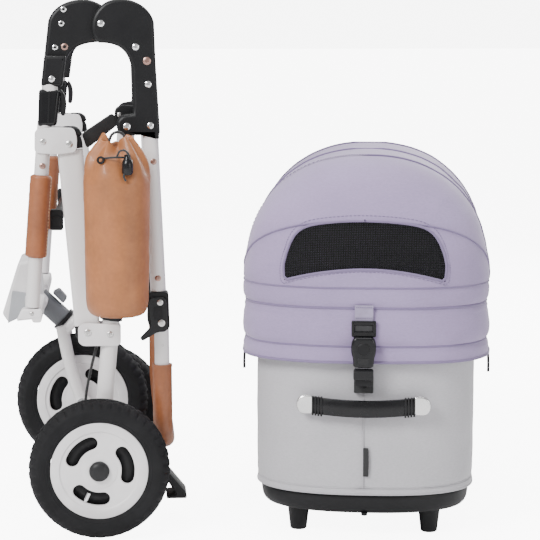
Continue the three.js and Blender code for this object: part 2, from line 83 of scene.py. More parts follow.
# ---------- node material helpers ----------
class Shader:
    """A principled material and short calls that add nodes to it."""

    def __init__(self, name, color, roughness, metallic=0.0):
        self.material = bpy.data.materials.new(name)
        self.material.use_nodes = True
        self.tree = self.material.node_tree
        self.bsdf = self.tree.nodes["Principled BSDF"]
        self.bsdf.inputs["Base Color"].default_value = (*color, 1)
        self.bsdf.inputs["Roughness"].default_value = roughness
        self.bsdf.inputs["Metallic"].default_value = metallic
        self.place = self.node("ShaderNodeTexCoord").outputs["Object"]
        self.color = color

    def node(self, kind, **values):
        made = self.tree.nodes.new(kind)
        for key, value in values.items():
            setattr(made, key, value)
        return made

    def link(self, source, target):
        self.tree.links.new(source, target)

    def noise(self, scale, detail=4.0, stretch=(1, 1, 1)):
        mapping = self.node("ShaderNodeMapping")
        mapping.inputs["Scale"].default_value = stretch
        self.link(self.place, mapping.inputs["Vector"])
        texture = self.node("ShaderNodeTexNoise")
        texture.inputs["Scale"].default_value = scale
        texture.inputs["Detail"].default_value = detail
        self.link(mapping.outputs["Vector"], texture.inputs["Vector"])
        return texture.outputs["Fac"]

    def bands(self, scale, direction):
        texture = self.node("ShaderNodeTexWave", wave_type="BANDS", bands_direction=direction)
        texture.inputs["Scale"].default_value = scale
        texture.inputs["Distortion"].default_value = 0.6
        texture.inputs["Detail"].default_value = 1.0
        self.link(self.place, texture.inputs["Vector"])
        return texture.outputs["Fac"]

    def cells(self, scale):
        texture = self.node("ShaderNodeTexVoronoi", feature="DISTANCE_TO_EDGE")
        texture.inputs["Scale"].default_value = scale
        self.link(self.place, texture.inputs["Vector"])
        return texture.outputs["Distance"]

    def math(self, operation, a, b):
        made = self.node("ShaderNodeMath", operation=operation)
        for socket, value in zip(made.inputs, (a, b)):
            if isinstance(value, (int, float)):
                socket.default_value = value
            else:
                self.link(value, socket)
        return made.outputs[0]

    def ramp(self, value, low, high, start=0.35, end=0.65):
        made = self.node("ShaderNodeValToRGB")
        made.color_ramp.elements[0].position = start
        made.color_ramp.elements[1].position = end
        made.color_ramp.elements[0].color = (*low, 1)
        made.color_ramp.elements[1].color = (*high, 1)
        self.link(value, made.inputs["Fac"])
        return made.outputs["Color"]

    def vary(self, value, amount, start=0.35, end=0.65):
        low = [max(0.0, c * (1 - amount)) for c in self.color]
        high = [min(1.0, c * (1 + amount)) for c in self.color]
        self.link(self.ramp(value, low, high, start, end), self.bsdf.inputs["Base Color"])

    def roughness(self, value, low, high):
        spread = self.node("ShaderNodeMapRange")
        spread.inputs["To Min"].default_value = low
        spread.inputs["To Max"].default_value = high
        self.link(value, spread.inputs["Value"])
        self.link(spread.outputs["Result"], self.bsdf.inputs["Roughness"])

    def bump(self, height, strength, distance=0.0006):
        made = self.node("ShaderNodeBump")
        made.inputs["Strength"].default_value = strength
        made.inputs["Distance"].default_value = distance
        self.link(height, made.inputs["Height"])
        previous = self.bsdf.inputs["Normal"]
        if previous.is_linked:
            self.link(previous.links[0].from_socket, made.inputs["Normal"])
        self.link(made.outputs["Normal"], previous)


def moulded(name, color, roughness, grain=900.0, strength=0.15, gleam=0.5):
    s = Shader(name, color, roughness)
    s.bsdf.inputs["Specular IOR Level"].default_value = gleam
    s.vary(s.noise(14), 0.1)
    s.bump(s.noise(grain, 2), strength, 0.0003)
    s.roughness(s.noise(40), roughness - 0.07, roughness + 0.1)
    return s.material


def powder_coat(name, color):
    s = Shader(name, color, 0.32)
    s.vary(s.noise(9), 0.025)
    s.bump(s.noise(1500, 2), 0.06, 0.0002)
    s.roughness(s.noise(60), 0.26, 0.4)
    s.bsdf.inputs["Coat Weight"].default_value = 0.25
    s.bsdf.inputs["Coat Roughness"].default_value = 0.2
    return s.material


def metal(name, color, roughness):
    s = Shader(name, color, roughness, 1.0)
    s.vary(s.noise(30), 0.06)
    s.roughness(s.noise(300, 3, (1, 12, 1)), roughness - 0.08, roughness + 0.12)
    s.bump(s.noise(700, 2, (1, 10, 1)), 0.05, 0.0002)
    return s.material


def rubber(name, color):
    s = Shader(name, color, 0.75)
    s.bsdf.inputs["Specular IOR Level"].default_value = 0.25
    s.vary(s.noise(25), 0.25)
    s.bump(s.noise(500, 4), 0.25, 0.0004)
    s.roughness(s.noise(18), 0.62, 0.88)
    return s.material


def leather(name, color, grain=420.0, strength=0.35):
    s = Shader(name, color, 0.5)
    mottled = s.math("ADD", s.math("MULTIPLY", s.noise(22, 6), 0.7), s.math("MULTIPLY", s.noise(160, 3),
                                                                            0.3))
    s.vary(mottled, 0.22, 0.3, 0.7)
    s.bump(s.cells(grain), strength, 0.0005)
    s.bump(s.noise(60, 5), 0.2, 0.0012)
    s.roughness(s.noise(90), 0.4, 0.62)
    s.bsdf.inputs["Coat Weight"].default_value = 0.08
    return s.material


def woven(name, color, thread=1.0, sheen=0.35, softness=0.35, finish=None):
    """Cloth: threads one way and the other, slubs, broad softness and a fuzzy sheen."""
    s = Shader(name, color, 0.85)
    across = s.bands(314 / thread, "X")
    along = s.bands(314 / thread, "Z")
    deep = s.bands(314 / thread, "Y")
    weave = s.math("ADD", s.math("MULTIPLY", across, along), s.math("MULTIPLY", deep, 0.5))
    slub = s.noise(220, 3, (1, 1, 3))
    broad = s.noise(7, 3)
    s.vary(s.math("ADD", s.math("MULTIPLY", slub, 0.5), s.math("MULTIPLY", broad, 0.5)), 0.07, 0.4, 0.62)
    s.bump(weave, 0.28, 0.0003)
    s.bump(s.noise(28, 4), softness, 0.0016)
    s.bsdf.inputs["Sheen Weight"].default_value = sheen
    s.bsdf.inputs["Sheen Roughness"].default_value = 0.5
    s.roughness(slub, 0.78, 0.94)
    if finish:
        finish(s)
    return s.material


def cut_window(s):
    """Leaves the window's place open: cloth between the two curves of its outline isn't there."""
    split = s.node("ShaderNodeSeparateXYZ")
    s.link(s.place, split.inputs["Vector"])
    x, y, z = split.outputs
    away_x = s.math("SUBTRACT", x, (CARRIER_X + ORIGIN.x) / 1000)
    away_y = s.math("SUBTRACT", y, (CARRIER_Y + ORIGIN.y) / 1000)
    cos, sin = math.cos(CARRIER_YAW), math.sin(CARRIER_YAW)
    own_x = s.math("ADD", s.math("MULTIPLY", away_x, cos), s.math("MULTIPLY", away_y, sin))
    own_y = s.math("SUBTRACT", s.math("MULTIPLY", away_y, cos), s.math("MULTIPLY", away_x, sin))
    share = s.math("DIVIDE", s.math("ABSOLUTE", own_x, 0), WINDOW_HALF / 1000)
    low = s.math("SUBTRACT", 0.417, s.math("MULTIPLY", s.math("POWER", share, 2), 0.019))
    drop = s.math("ADD", s.math("MULTIPLY", s.math("POWER", share, 2), 0.015),
                  s.math("MULTIPLY", s.math("POWER", share, 10), 0.045))
    high = s.math("SUBTRACT", 0.488, drop)
    above = s.math("GREATER_THAN", z, low)
    below = s.math("LESS_THAN", z, high)
    near = s.math("LESS_THAN", own_y, -0.150)
    inside = s.math("LESS_THAN", share, 0.995)
    gone = s.math("MULTIPLY", s.math("MULTIPLY", above, below), s.math("MULTIPLY", near, inside))
    clear = s.node("ShaderNodeBsdfTransparent")
    mix = s.node("ShaderNodeMixShader")
    s.link(gone, mix.inputs["Fac"])
    s.link(s.bsdf.outputs["BSDF"], mix.inputs[1])
    s.link(clear.outputs["BSDF"], mix.inputs[2])
    s.link(mix.outputs["Shader"], s.tree.nodes["Material Output"].inputs["Surface"])


def webbing(name, color):
    s = Shader(name, color, 0.7)
    ribs = s.bands(160, "Z")
    s.vary(s.noise(60), 0.12)
    s.bump(ribs, 0.6, 0.0006)
    s.bump(s.bands(500, "X"), 0.25, 0.0003)
    s.bsdf.inputs["Sheen Weight"].default_value = 0.3
    return s.material


def net(name):
    """A fine net: dark threads with small holes between them."""
    s = Shader(name, (0.005, 0.005, 0.006), 0.8)
    s.bsdf.inputs["Specular IOR Level"].default_value = 0.2
    grid = s.math("MAXIMUM", s.bands(125, "X"), s.bands(125, "Z"))
    s.bump(grid, 0.8, 0.0006)
    s.vary(grid, 0.6, 0.4, 0.9)
    hole = s.math("LESS_THAN", grid, 0.14)
    clear = s.node("ShaderNodeBsdfTransparent")
    mix = s.node("ShaderNodeMixShader")
    out = s.tree.nodes["Material Output"]
    s.link(hole, mix.inputs["Fac"])
    s.link(s.bsdf.outputs["BSDF"], mix.inputs[1])
    s.link(clear.outputs["BSDF"], mix.inputs[2])
    s.link(mix.outputs["Shader"], out.inputs["Surface"])
    return s.material


MAT = {
    "white": powder_coat("white_powder_coat", (0.74, 0.715, 0.71)),
    "white_plastic": moulded("white_moulded_plastic", (0.76, 0.74, 0.745), 0.38, 700, 0.08),
    "black": moulded("black_moulded_plastic", (0.006, 0.006, 0.007), 0.42, gleam=0.28),
    "gloss_black": moulded("smooth_black_plastic", (0.004, 0.004, 0.005), 0.25, 300, 0.04, 0.35),
    "black_steel": powder_coat("black_powder_coat", (0.008, 0.008, 0.009)),
    "grey": moulded("grey_moulded_plastic", (0.11, 0.115, 0.125), 0.5, gleam=0.4),
    # painted shade: this grey stands in for the shadow inside the nose shell, not for a grey plastic of its
    # own
    "shade": moulded("nose_painted_shade_grey", (0.36, 0.37, 0.39), 0.45, 700, 0.08),
    "cap": moulded("dark_cap_plastic", (0.014, 0.014, 0.015), 0.4, gleam=0.3),
    "tyre": rubber("tyre_rubber", (0.008, 0.008, 0.009)),
    "steel": metal("satin_steel", (0.62, 0.61, 0.6), 0.3),
    "satin": metal("satin_end_plate", (0.78, 0.77, 0.77), 0.22),
    "rivet": metal("bronzed_rivet", (0.4, 0.25, 0.21), 0.35),
    "chrome": metal("bright_plating", (0.85, 0.85, 0.86), 0.14),
    "leather": leather("tan_leather", (0.26, 0.085, 0.03)),
    "pouch": leather("tan_bag_cloth", (0.32, 0.114, 0.036), 300, 0.16),
    "thread": woven("tan_thread", (0.62, 0.36, 0.2), 0.5),
    "hood": woven("hood_cloth", (0.315, 0.245, 0.42), finish=cut_window),
    "lavender_trim": woven("lavender_binding", (0.19, 0.145, 0.27), 0.7),
    "grey_cloth": woven("pale_grey_cloth", (0.46, 0.45, 0.475)),
    "grey_trim": woven("pale_grey_binding", (0.42, 0.41, 0.435), 0.7),
    "cord": woven("black_cord", (0.015, 0.015, 0.016), 1.2),
    "strap": webbing("black_strap", (0.018, 0.018, 0.02)),
    "lavender_strap": webbing("lavender_strap", (0.33, 0.28, 0.42)),
    "net": net("window_net"),
    "fleece": woven("grey_fleece", (0.2, 0.2, 0.21), 2.0, 0.8, 0.9),
}


# ---------- mesh helpers ----------
def finish_piece(obj, material, body, replaces=()):
    if not obj.data.materials:
        obj.data.materials.append(MAT[material])
    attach(obj, body)
    if replaces:
        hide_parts(*replaces)
    return obj


def across_bar(name, place, half, radius, material, body, replaces=()):
    """A round bar across the frame through [x, z], the same length to both sides."""
    x, z = place
    return tube(name, [(x, -half, z), (x, half, z)], radius, material, body, replaces)


def new_mesh(name, verts, faces, material, body, replaces=(), smooth=True):
    mesh = bpy.data.meshes.new(name)
    mesh.from_pydata([(Vector(p) + ORIGIN) / 1000 for p in verts], [], faces)
    mesh.validate()
    mesh.update()
    mesh.polygons.foreach_set("use_smooth", [smooth] * len(mesh.polygons))
    obj = bpy.data.objects.new(name, mesh)
    bpy.context.collection.objects.link(obj)
    return finish_piece(obj, material, body, replaces)


def from_curve(curve, name, material, body, replaces=(), matrix=None):
    """Turns a filled or bevelled curve into a mesh piece."""
    temporary = bpy.data.objects.new(name + "_curve", curve)
    bpy.context.collection.objects.link(temporary)
    bpy.context.view_layer.update()
    depsgraph = bpy.context.evaluated_depsgraph_get()
    mesh = bpy.data.meshes.new_from_object(temporary.evaluated_get(depsgraph))
    bpy.data.objects.remove(temporary)
    bpy.data.curves.remove(curve)
    if matrix:
        mesh.transform(matrix)
    mesh.transform(Matrix.Translation(ORIGIN / 1000))
    mesh.name = name
    mesh.polygons.foreach_set("use_smooth", [True] * len(mesh.polygons))
    mesh.set_sharp_from_angle(angle=math.radians(38))
    obj = bpy.data.objects.new(name, mesh)
    bpy.context.collection.objects.link(obj)
    return finish_piece(obj, material, body, replaces)


def tube(name, points, radius, material, body, replaces=(), smooth_path=False, sides=10):
    """A round bar through points; a smooth path bends through them on one curve."""
    curve = bpy.data.curves.new(name, "CURVE")
    curve.dimensions = "3D"
    curve.bevel_depth = radius / 1000
    curve.bevel_resolution = sides
    curve.use_fill_caps = True
    curve.resolution_u = 16
    spline = curve.splines.new("BEZIER" if smooth_path else "POLY")
    knots = spline.bezier_points if smooth_path else spline.points
    knots.add(len(points) - 1)
    for knot, point in zip(knots, points):
        place = [c / 1000 for c in point]
        if smooth_path:
            knot.co = place
            knot.handle_left_type = knot.handle_right_type = "AUTO"
        else:
            knot.co = (*place, 1)
    return from_curve(curve, name, material, body, replaces)


def loop_bar(name, ring, radius, material, body, replaces=(), sides=3):
    """A thin bar right round a closed ring: a seam, trim or binding."""
    return tube(name, [*ring, ring[0]], radius, material, body, replaces, sides=sides)


def plate(name, outline, y0, y1, material, body, replaces=(), holes=(), bevel=1.0):
    """A flat plate with rounded edges, its outline in x and z, between two y values."""
    curve = bpy.data.curves.new(name, "CURVE")
    curve.dimensions = "2D"
    curve.fill_mode = "BOTH"
    curve.extrude = max(0.01, abs(y1 - y0) / 2 - bevel) / 1000
    curve.bevel_depth = bevel / 1000
    curve.bevel_resolution = 2
    curve.offset = -bevel / 1000
    for ring in (outline, *holes):
        spline = curve.splines.new("POLY")
        spline.points.add(len(ring) - 1)
        for knot, (x, z) in zip(spline.points, ring):
            knot.co = (x / 1000, z / 1000, 0, 1)
        spline.use_cyclic_u = True
    matrix = Matrix.Translation((0, (y0 + y1) / 2000, 0)) @ Matrix.Rotation(math.pi / 2, 4, "X")
    return from_curve(curve, name, material, body, replaces, matrix)


def cheeks(name, outline, side, layers, material, body, replaced, bevel):
    """The two equal plates of a bracket; layers are the y pairs of its outer and its inner plate."""
    for place, (low, high) in (("_outer", layers[:2]), ("_inner", layers[2:])):
        stands_for = [replaced] if place == "_outer" else ()
        plate(name + place, outline, side * low, side * high, material, body, stands_for, bevel=bevel)


def lathe(name, profile, centre, material, body, replaces=(), segments=72, axis="Y", shape=None):
    """Turns a profile of (radius, height along the axis) about the axis through centre."""
    verts = []
    for r, h in profile:
        for i in range(segments):
            angle = 2 * math.pi * i / segments
            radius, height = shape(r, h, angle) if shape else (r, h)
            a, b = radius * math.cos(angle), radius * math.sin(angle)
            offset = (a, height, b) if axis == "Y" else (a, b, height)
            verts.append([c + o for c, o in zip(centre, offset)])
    faces = []
    for level in range(len(profile) - 1):
        for i in range(segments):
            j = (i + 1) % segments
            a, b = level * segments, (level + 1) * segments
            faces.append((a + i, a + j, b + j, b + i))
    obj = new_mesh(name, verts, faces, material, body, replaces)
    tidy_normals(obj)
    return obj


def tidy_normals(obj):
    shape = bmesh.new()
    shape.from_mesh(obj.data)
    bmesh.ops.remove_doubles(shape, verts=shape.verts, dist=1e-6)
    bmesh.ops.recalc_face_normals(shape, faces=shape.faces)
    shape.to_mesh(obj.data)
    shape.free()
    obj.data.set_sharp_from_angle(angle=math.radians(45))


def skin(name, rings, material, body, replaces=(), closed=True, caps=(False, False)):
    """A surface through rings that all have the same number of points."""
    count = len(rings[0])
    verts = [point for ring in rings for point in ring]
    faces = []
    last = count if closed else count - 1
    for level in range(len(rings) - 1):
        for i in range(last):
            j = (i + 1) % count
            a, b = level * count, (level + 1) * count
            faces.append((a + i, a + j, b + j, b + i))
    if caps[0]:
        faces.append(tuple(reversed(range(count))))
    if caps[1]:
        faces.append(tuple(range(len(verts) - count, len(verts))))
    return new_mesh(name, verts, faces, material, body, replaces)


def on_axis(along):
    """A point on the steering axis, measured along it."""
    x, z = steer_point(along, 0)
    return (x, 0, z)


def arc(cx, cz, radius, start, end, count=12):
    angles = [math.radians(start + (end - start) * i / count) for i in range(count + 1)]
    return [(cx + radius * math.cos(a), cz + radius * math.sin(a)) for a in angles]


def bezier(p0, p1, p2, p3, count=10):
    points = []
    for i in range(count + 1):
        t = i / count
        weights = ((1 - t) ** 3, 3 * t * (1 - t) ** 2, 3 * t * t * (1 - t), t ** 3)
        points.append(tuple(sum(w * p[k] for w, p in zip(weights, (p0, p1, p2, p3))) for k in (0, 1)))
    return points


def round_off(corners, radius, count=5):
    """A polygon with its corners rounded."""
    rounded = []
    total = len(corners)
    for i, corner in enumerate(corners):
        here = Vector(corner)
        before = Vector(corners[i - 1]) - here
        after = Vector(corners[(i + 1) % total]) - here
        reach = min(radius, before.length * 0.45, after.length * 0.45)
        start = here + before.normalized() * reach
        end = here + after.normalized() * reach
        for k in range(count + 1):
            t = k / count
            point = start * (1 - t) ** 2 + here * 2 * t * (1 - t) + end * t * t
            rounded.append((point.x, point.y))
    return rounded


def steer_point(along, aside):
    return (STEER_REF[0] + along * STEER_DIR[0] + aside * STEER_DIR[1],
            STEER_REF[1] + along * STEER_DIR[1] - aside * STEER_DIR[0])


def stud(name, x, z, y, side, radius, material, body, height=1.8):
    """A domed rivet or screw head with a driver socket, facing out to one side."""
    profile = [(0.0001, -side * 0.6), (radius * 0.35, -side * 0.6), (radius * 0.4, 0.25 * side),
               (radius * 0.7, 0.1 * side), (radius, -side * 0.8), (radius, -side * height)]
    profile = [(r, h + side * 1.0) for r, h in profile]
    return lathe(name, profile, (x, y, z), material, body, segments=20)


# ---------- wheels ----------
def tread(r, h, angle):
    """Lowers the grooves between the tread blocks of a tyre."""
    if r < WHEEL_RADIUS - 13:
        return r, h
    column = 0 if abs(h) < 6.5 else 1
    turn = angle / (2 * math.pi) * 44 + 0.5 * column
    groove = (turn % 1) < 0.22 or abs(abs(h) - 6.5) < 1.3
    fade = min(1.0, (r - (WHEEL_RADIUS - 13)) / 5)
    return (r - 2.1 * fade, h) if groove else (r, h)


def tyre_profile():
    low, crown, half_width = RIM_RADIUS + 0.5, 86.7, 25.2
    points = [(low, -18.5), (low + 3, -20.5)]
    for i in range(37):
        angle = math.radians(-76 + 152 * i / 36)
        points.append((crown + (WHEEL_RADIUS - crown) * math.cos(angle) ** 0.9,
                       half_width * math.sin(angle)))
    return points + [(low + 3, 20.5), (low, 18.5)]


def tyre(prefix, centre, body):
    x, y, z = centre
    obj = lathe(prefix + "_tyre_rubber", tyre_profile(), (x, 0, z), "tyre", body, [prefix + "_tyre"], 264,
                shape=tread)
    obj.data.transform(Matrix.Translation((0, y / 1000, 0)))
    for bead in (-1, 1):
        tube_ring(prefix + f"_bead_{bead + 2}", centre, bead * 20.5, 80, 1.1, "tyre", body)
    return obj


def tube_ring(name, centre, offset, radius, thickness, material, body):
    x, y, z = centre
    profile = [(radius + thickness * math.cos(a), offset + thickness * math.sin(a))
               for a in (2 * math.pi * i / 10 for i in range(11))]
    return lathe(name, profile, (x, y, z), material, body, segments=96)


def kidney(index, inner, outer, start, sweep):
    """The outline of one curved slot in a wheel, with round ends."""
    begin = start + index * 120
    end = begin + sweep
    middle, radius = (inner + outer) / 2, (outer - inner) / 2
    far_end, near_end = arc(0, 0, middle, end, end, 1)[0], arc(0, 0, middle, begin, begin, 1)[0]
    return (arc(0, 0, outer, begin, end, 14) + arc(*far_end, radius, end, end + 180, 8)[1:-1]
            + arc(0, 0, inner, end, begin, 10) + arc(*near_end, radius, begin + 180, begin + 360, 8)[1:-1])


def rim(prefix, centre, face, body, start):
    x, y, z = centre
    holes = [kidney(i, 33.8, 53.6, start, 52) for i in range(3)]
    web = plate(prefix + "_web", arc(0, 0, 60, 0, 356, 89), 0, 7, "white_plastic", body, [prefix + "_rim"],
                [*holes, arc(0, 0, 6, 0, 340, 17)], bevel=1.6)
    web.data.transform(Matrix.Translation((x / 1000, (y + face * 14 - 3.5) / 1000, z / 1000)))
    ring = [(58, 11), (58, 17.4), (60, 18), (61, 19.6), (72.5, 19.6), (74, 18.6), (74, 15), (70, 12),
            (65.5, 9), (65.5, -9), (70, -12), (74, -15), (74, -18.6), (72, -19.4), (64, -18), (62, -9),
            (62, 9), (58, 11)]
    lathe(prefix + "_barrel", [(r, h * face) for r, h in ring], centre, "white_plastic", body, segments=96)
    hub = [(6, -19.5), (15.5, -19.5), (17, -17), (19, 8), (27, 13), (27, 18.5), (20, 19.6), (6, 19.6)]
    lathe(prefix + "_hub", [(r, h * face) for r, h in hub], centre, "white_plastic", body, segments=64)
    disc = [(16, 3), (61, 3), (61.5, 5), (60, 6), (50, 5.2), (48, 6.4), (40, 6.4), (38, 5.2), (18, 6),
            (16, 3)]
    lathe(prefix + "_inner_disc", [(r, h * face) for r, h in disc], centre, "black", body, segments=64)
    for i in range(3):
        rib_angle = math.radians(start + i * 120 - 33)
        points = [(x + r * math.cos(rib_angle), y + face * 7, z + r * math.sin(rib_angle)) for r in (20, 61)]
        tube(prefix + f"_rib_{i}", points, 3.2, "white_plastic", body)
    valve_angle = math.radians(start + 2 * 120 + 20)
    inner, outer = [(x + r * math.cos(valve_angle), y + face * 9, z + r * math.sin(valve_angle))
                    for r in (39, 63)]
    middle = tuple((a + b) / 2 for a, b in zip(inner, outer))
    tube(prefix + "_valve_stem", [middle, outer], 3.0, "chrome", body)
    tube(prefix + "_valve_cap", [inner, middle], 3.9, "chrome", body)


def wheels():
    for prefix, side in SIDES:
        name = prefix + "_rear"
        body = prefix + "_rear_wheel"
        centre = (REAR_AXLE[0], side * TRACK_HALF, REAR_AXLE[1])
        tyre(name, centre, body)
        rim(name, centre, side, body, -14)
        cap = [(0.0001, 29.6), (6, 29.4), (11, 28.2), (14, 26), (15.4, 22.8), (15.6, 20.6), (0.0001, 20.6)]
        lathe(name + "_cap", [(r, h * side) for r, h in cap], centre, "cap", body, [name + "_hub_cap"], 48)
    centre = (FRONT_AXLE[0], 0, FRONT_AXLE[1])
    tyre("front", centre, "front_wheel")
    rim("front", centre, -1, "front_wheel", 19)


# ---------- side frames ----------
def handle_elbow_outline():
    return [*bezier((7, 807), (18, 817), (30, 818.2), (44, 817.3)),
            *bezier((44, 817.3), (68, 814), (84, 798), (87, 782)),
            *round_off([(96, 612.8), (45.1, 612.8)], 3),
            *arc(45.1, 628.6, 15.8, -90, -270),
            (54, 646), (54.6, 656), (53, 712),
            *bezier((53, 712), (48, 742), (34, 752), (4, 752)),
            *bezier((4, 752), (-11, 762), (-12, 790), (7, 807))]


def leg_elbow_outline():
    return [*bezier((7.3, 807), (0, 815), (-12, 818), (-27, 816.8)),
            *bezier((-27, 816.8), (-52, 813), (-66, 802), (-72, 785)),
            (-83.4, 689), (-51.5, 687), (-46.6, 722),
            *bezier((-46.6, 722), (-42, 742), (-26, 752), (6, 753)),
            *bezier((6, 753), (28, 760), (28, 800), (7.3, 807))]


def handle_arms():
    body = "handle_arms"
    for prefix, side in SIDES:
        y = side * SIDE_PLANE
        plate(prefix + "_handle_knee", handle_elbow_outline(), side * 198.5, side * ELBOW_OUTER, "black",
              body, [prefix + "_handle_elbow"], bevel=5)
        socket = round_off([(88.6, 734), (95.6, 613.4), (62, 613.4), (62, 651), (55.2, 656), (53.6, 710),
                            (51.5, 734)], 5)
        plate(prefix + "_handle_socket", socket, side * ELBOW_INNER, side * 203, "black", body, bevel=3)
        plate(prefix + "_arm_cheek", arc(45.1, 628.6, 15.8, 90, 270, 14) + [(62, 612.8), (62, 644.4)],
              side * ELBOW_INNER, side * 191, "black", body)
        tube(prefix + "_handle_stem", [(HANDLE_TOP[0], y, HANDLE_TOP[1] + 1),
                                       (HANDLE_FOOT[0], y, HANDLE_FOOT[1])], 12, "white", body,
             [prefix + "_handle_tube"])
        for i, (x, z) in enumerate(((59.1, 745.8), (77.7, 689.9), (80.7, 627.6), TOP_PIVOT)):
            stud(prefix + f"_knee_screw_{i}", x, z, side * ELBOW_OUTER, side, 5, "chrome", body)
        stud(prefix + "_knee_rivet", 75.9, 724.8, side * ELBOW_OUTER, side, 6, "rivet", body)
        stud(prefix + "_arm_pin_head", *ARM_PIVOT, side * 211, side, 5.4, "chrome", body)
        stud(prefix + "_tube_rivet_0", 85.1, 573, side * 209.6, side, 4.8, "rivet", body)
        stud(prefix + "_tube_rivet_1", 91, 395, side * 209.6, side, 4.8, "rivet", body)
        adjuster(prefix, side, body)


def adjuster(prefix, side, body):
    cheek = round_off([(76, 373.6), (107, 373.6), (109, 318), (98, 312), (80, 316), (74, 330)], 5)
    cheeks(prefix + "_adjuster", cheek, side, (209.4, 212.4, 183.6, 186.4), "black", body,
           prefix + "_handle_adjuster", 0.8)
    plate(prefix + "_adjuster_core", round_off([(78, 373), (106, 373), (106, 345.5), (78, 345.5)], 4),
          side * 185, side * 211, "black", body)
    lever = round_off([(76.5, 361), (79, 366), (100, 366.5), (104, 362), (106.5, 322), (102, 313), (90, 313),
                       (67, 299), (62.5, 304), (80, 322)], 6)
    lever_body = prefix + "_adjuster_lever"
    plate(prefix + "_lever_plate", lever, side * 212.8, side * 216.3, "gloss_black", lever_body,
          [lever_body], bevel=1.1)
    plate(prefix + "_lever_rib", round_off([(84, 352), (97, 352), (99, 334), (84, 330)], 4), side * 216,
          side * 217.2, "black", lever_body, bevel=0.5)
    stud(prefix + "_lever_rivet_0", 93.9, 358.5, side * 216.4, side, 4.6, "steel", lever_body)
    stud(prefix + "_lever_rivet_1", *GRIP_PIVOT, side * 217.6, side, 5.4, "steel", body)


def handle_bow():
    half = [(96, 198, 333), (97, 198, 260), (97.5, 198, 205), (98, 186, 172), (100, 158, 146),
            (103, 112, 126), (104, 50, 121)]
    points = half + [(x, -y, z) for x, y, z in reversed(half)]
    body = "handle_bow"
    tube("bow_tube", points, 11.4, "white", body, ["handle_bow"], True)
    grip = [(97, 198, 259), *points[2:-2], (97, -198, 259)]
    cover = tube("bow_leather", grip, 15, "leather", body, ["handle_grip"], True, 14)
    for side in (-1, 1):
        tube_collar = [(97, side * 198, 260.5), (97, side * 198, 256)]
        tube(f"grip_hem_{side + 2}", tube_collar, 15.5, "leather", body)
        stud(f"bow_screw_{side + 2}", 97.6, 291, side * 208.2, side, 2.6, "steel", body)
    seam = [(x + 10.4, y, z - 10.4 if abs(y) < 180 else z) for x, y, z in grip]
    stitched_seam("grip_stitch", seam, body)


def stitched_seam(name, points, body, spacing=6.0, material="thread"):
    """Short raised stitches along a route."""
    route = [Vector(p) for p in points]
    stitches = []
    for start, end in zip(route, route[1:]):
        steps = max(1, int((end - start).length / spacing))
        for i in range(steps):
            stitches.append((start.lerp(end, (i + 0.2) / steps), start.lerp(end, (i + 0.8) / steps)))
    join_stitches(name, stitches, body, material)


def join_stitches(name, stitches, body, material):
    """All stitches of one seam as a single mesh of thin six-sided bars."""
    verts, faces = [], []
    for a, b in stitches:
        along = (b - a).normalized()
        side = along.orthogonal().normalized()
        up = along.cross(side)
        base = len(verts)
        for end in (a, b):
            for i in range(6):
                angle = math.pi * i / 3
                verts.append(end + side * 0.55 * math.cos(angle) + up * 0.55 * math.sin(angle))
        for i in range(6):
            j = (i + 1) % 6
            faces.append((base + i, base + j, base + 6 + j, base + 6 + i))
        faces.append(tuple(base + i for i in range(6)))
        faces.append(tuple(base + 11 - i for i in range(6)))
    return new_mesh(name, verts, faces, material, body)


def front_legs():
    body = "front_legs"
    for prefix, side in SIDES:
        y = side * SIDE_PLANE
        plate(prefix + "_leg_knee", leg_elbow_outline(), side * 185.7, side * 197.5, "black", body,
              [prefix + "_leg_elbow"], bevel=5)
        socket = round_off([(-78.2, 733), (-83.4, 688), (-51.5, 686), (-46.8, 720), (-45, 733)], 4)
        plate(prefix + "_leg_socket", socket, side * 193, side * ELBOW_OUTER, "black", body, bevel=5)
        collar = round_off([(-86.5, 682.5), (-54.5, 681), (-60.5, 627.5), (-88.8, 626.5)], 5)
        plate(prefix + "_lock_collar", collar, side * ELBOW_INNER, side * ELBOW_OUTER, "gloss_black", body,
              bevel=5)
        groove = round_off([(-72, 680), (-69, 680), (-71.5, 632), (-74.5, 632)], 1)
        plate(prefix + "_lock_groove", groove, side * 210, side * 211.4, "black", body, bevel=0.5)
        tube(prefix + "_leg_stub", [(-71, y, 690), (-70, y, 680)], 12, "white", body)
        for i, (x, z) in enumerate(((-48.7, 801.8), (-52.2, 780.8), (-62, 744.9), (-67.1, 698.1))):
            depth = ELBOW_OUTER if z < ELBOW_SPLIT else 196.9
            stud(prefix + f"_leg_screw_{i}", x, z, side * depth, side, 4.8, "chrome", body)
        stud(prefix + "_leg_knee_rivet", -47.6, 745.9, side * 196.9, side, 6, "rivet", body)
        leg(prefix, side, body)
        trigger = (bezier((-53.5, 682), (-44.5, 674), (-44.5, 658), (-47.5, 645))
                   + bezier((-47.5, 645), (-49, 641), (-53.5, 642), (-54.6, 646))
                   + bezier((-54.6, 646), (-53, 660), (-54.5, 668), (-55.8, 676)))
        name = prefix + "_lock_trigger"
        plate(prefix + "_trigger_lever", trigger, side * 191.2, side * 204.8, "black", name, [name], bevel=2)
    front_cross_bar(body)
    front_nose(body)
    fold_strut()


def fold_strut():
    """The flat black strut and its knuckle inside the near side frame, from rear leg to rail."""
    strut = round_off([(-24, 614), (24, 646), (33, 628), (-16, 590)], 7)
    plate("fold_strut", strut, -176, -170, "black_steel", "rear_legs", bevel=1)
    knuckle = round_off([(26, 632), (27, 652), (36, 658), (60, 656), (60, 632)], 6)
    plate("fold_knuckle", knuckle, -183, -176.2, "black", "rear_legs", bevel=2)
    stud("strut_rivet", 34, 643, -183.2, -1, 3.6, "steel", "rear_legs")


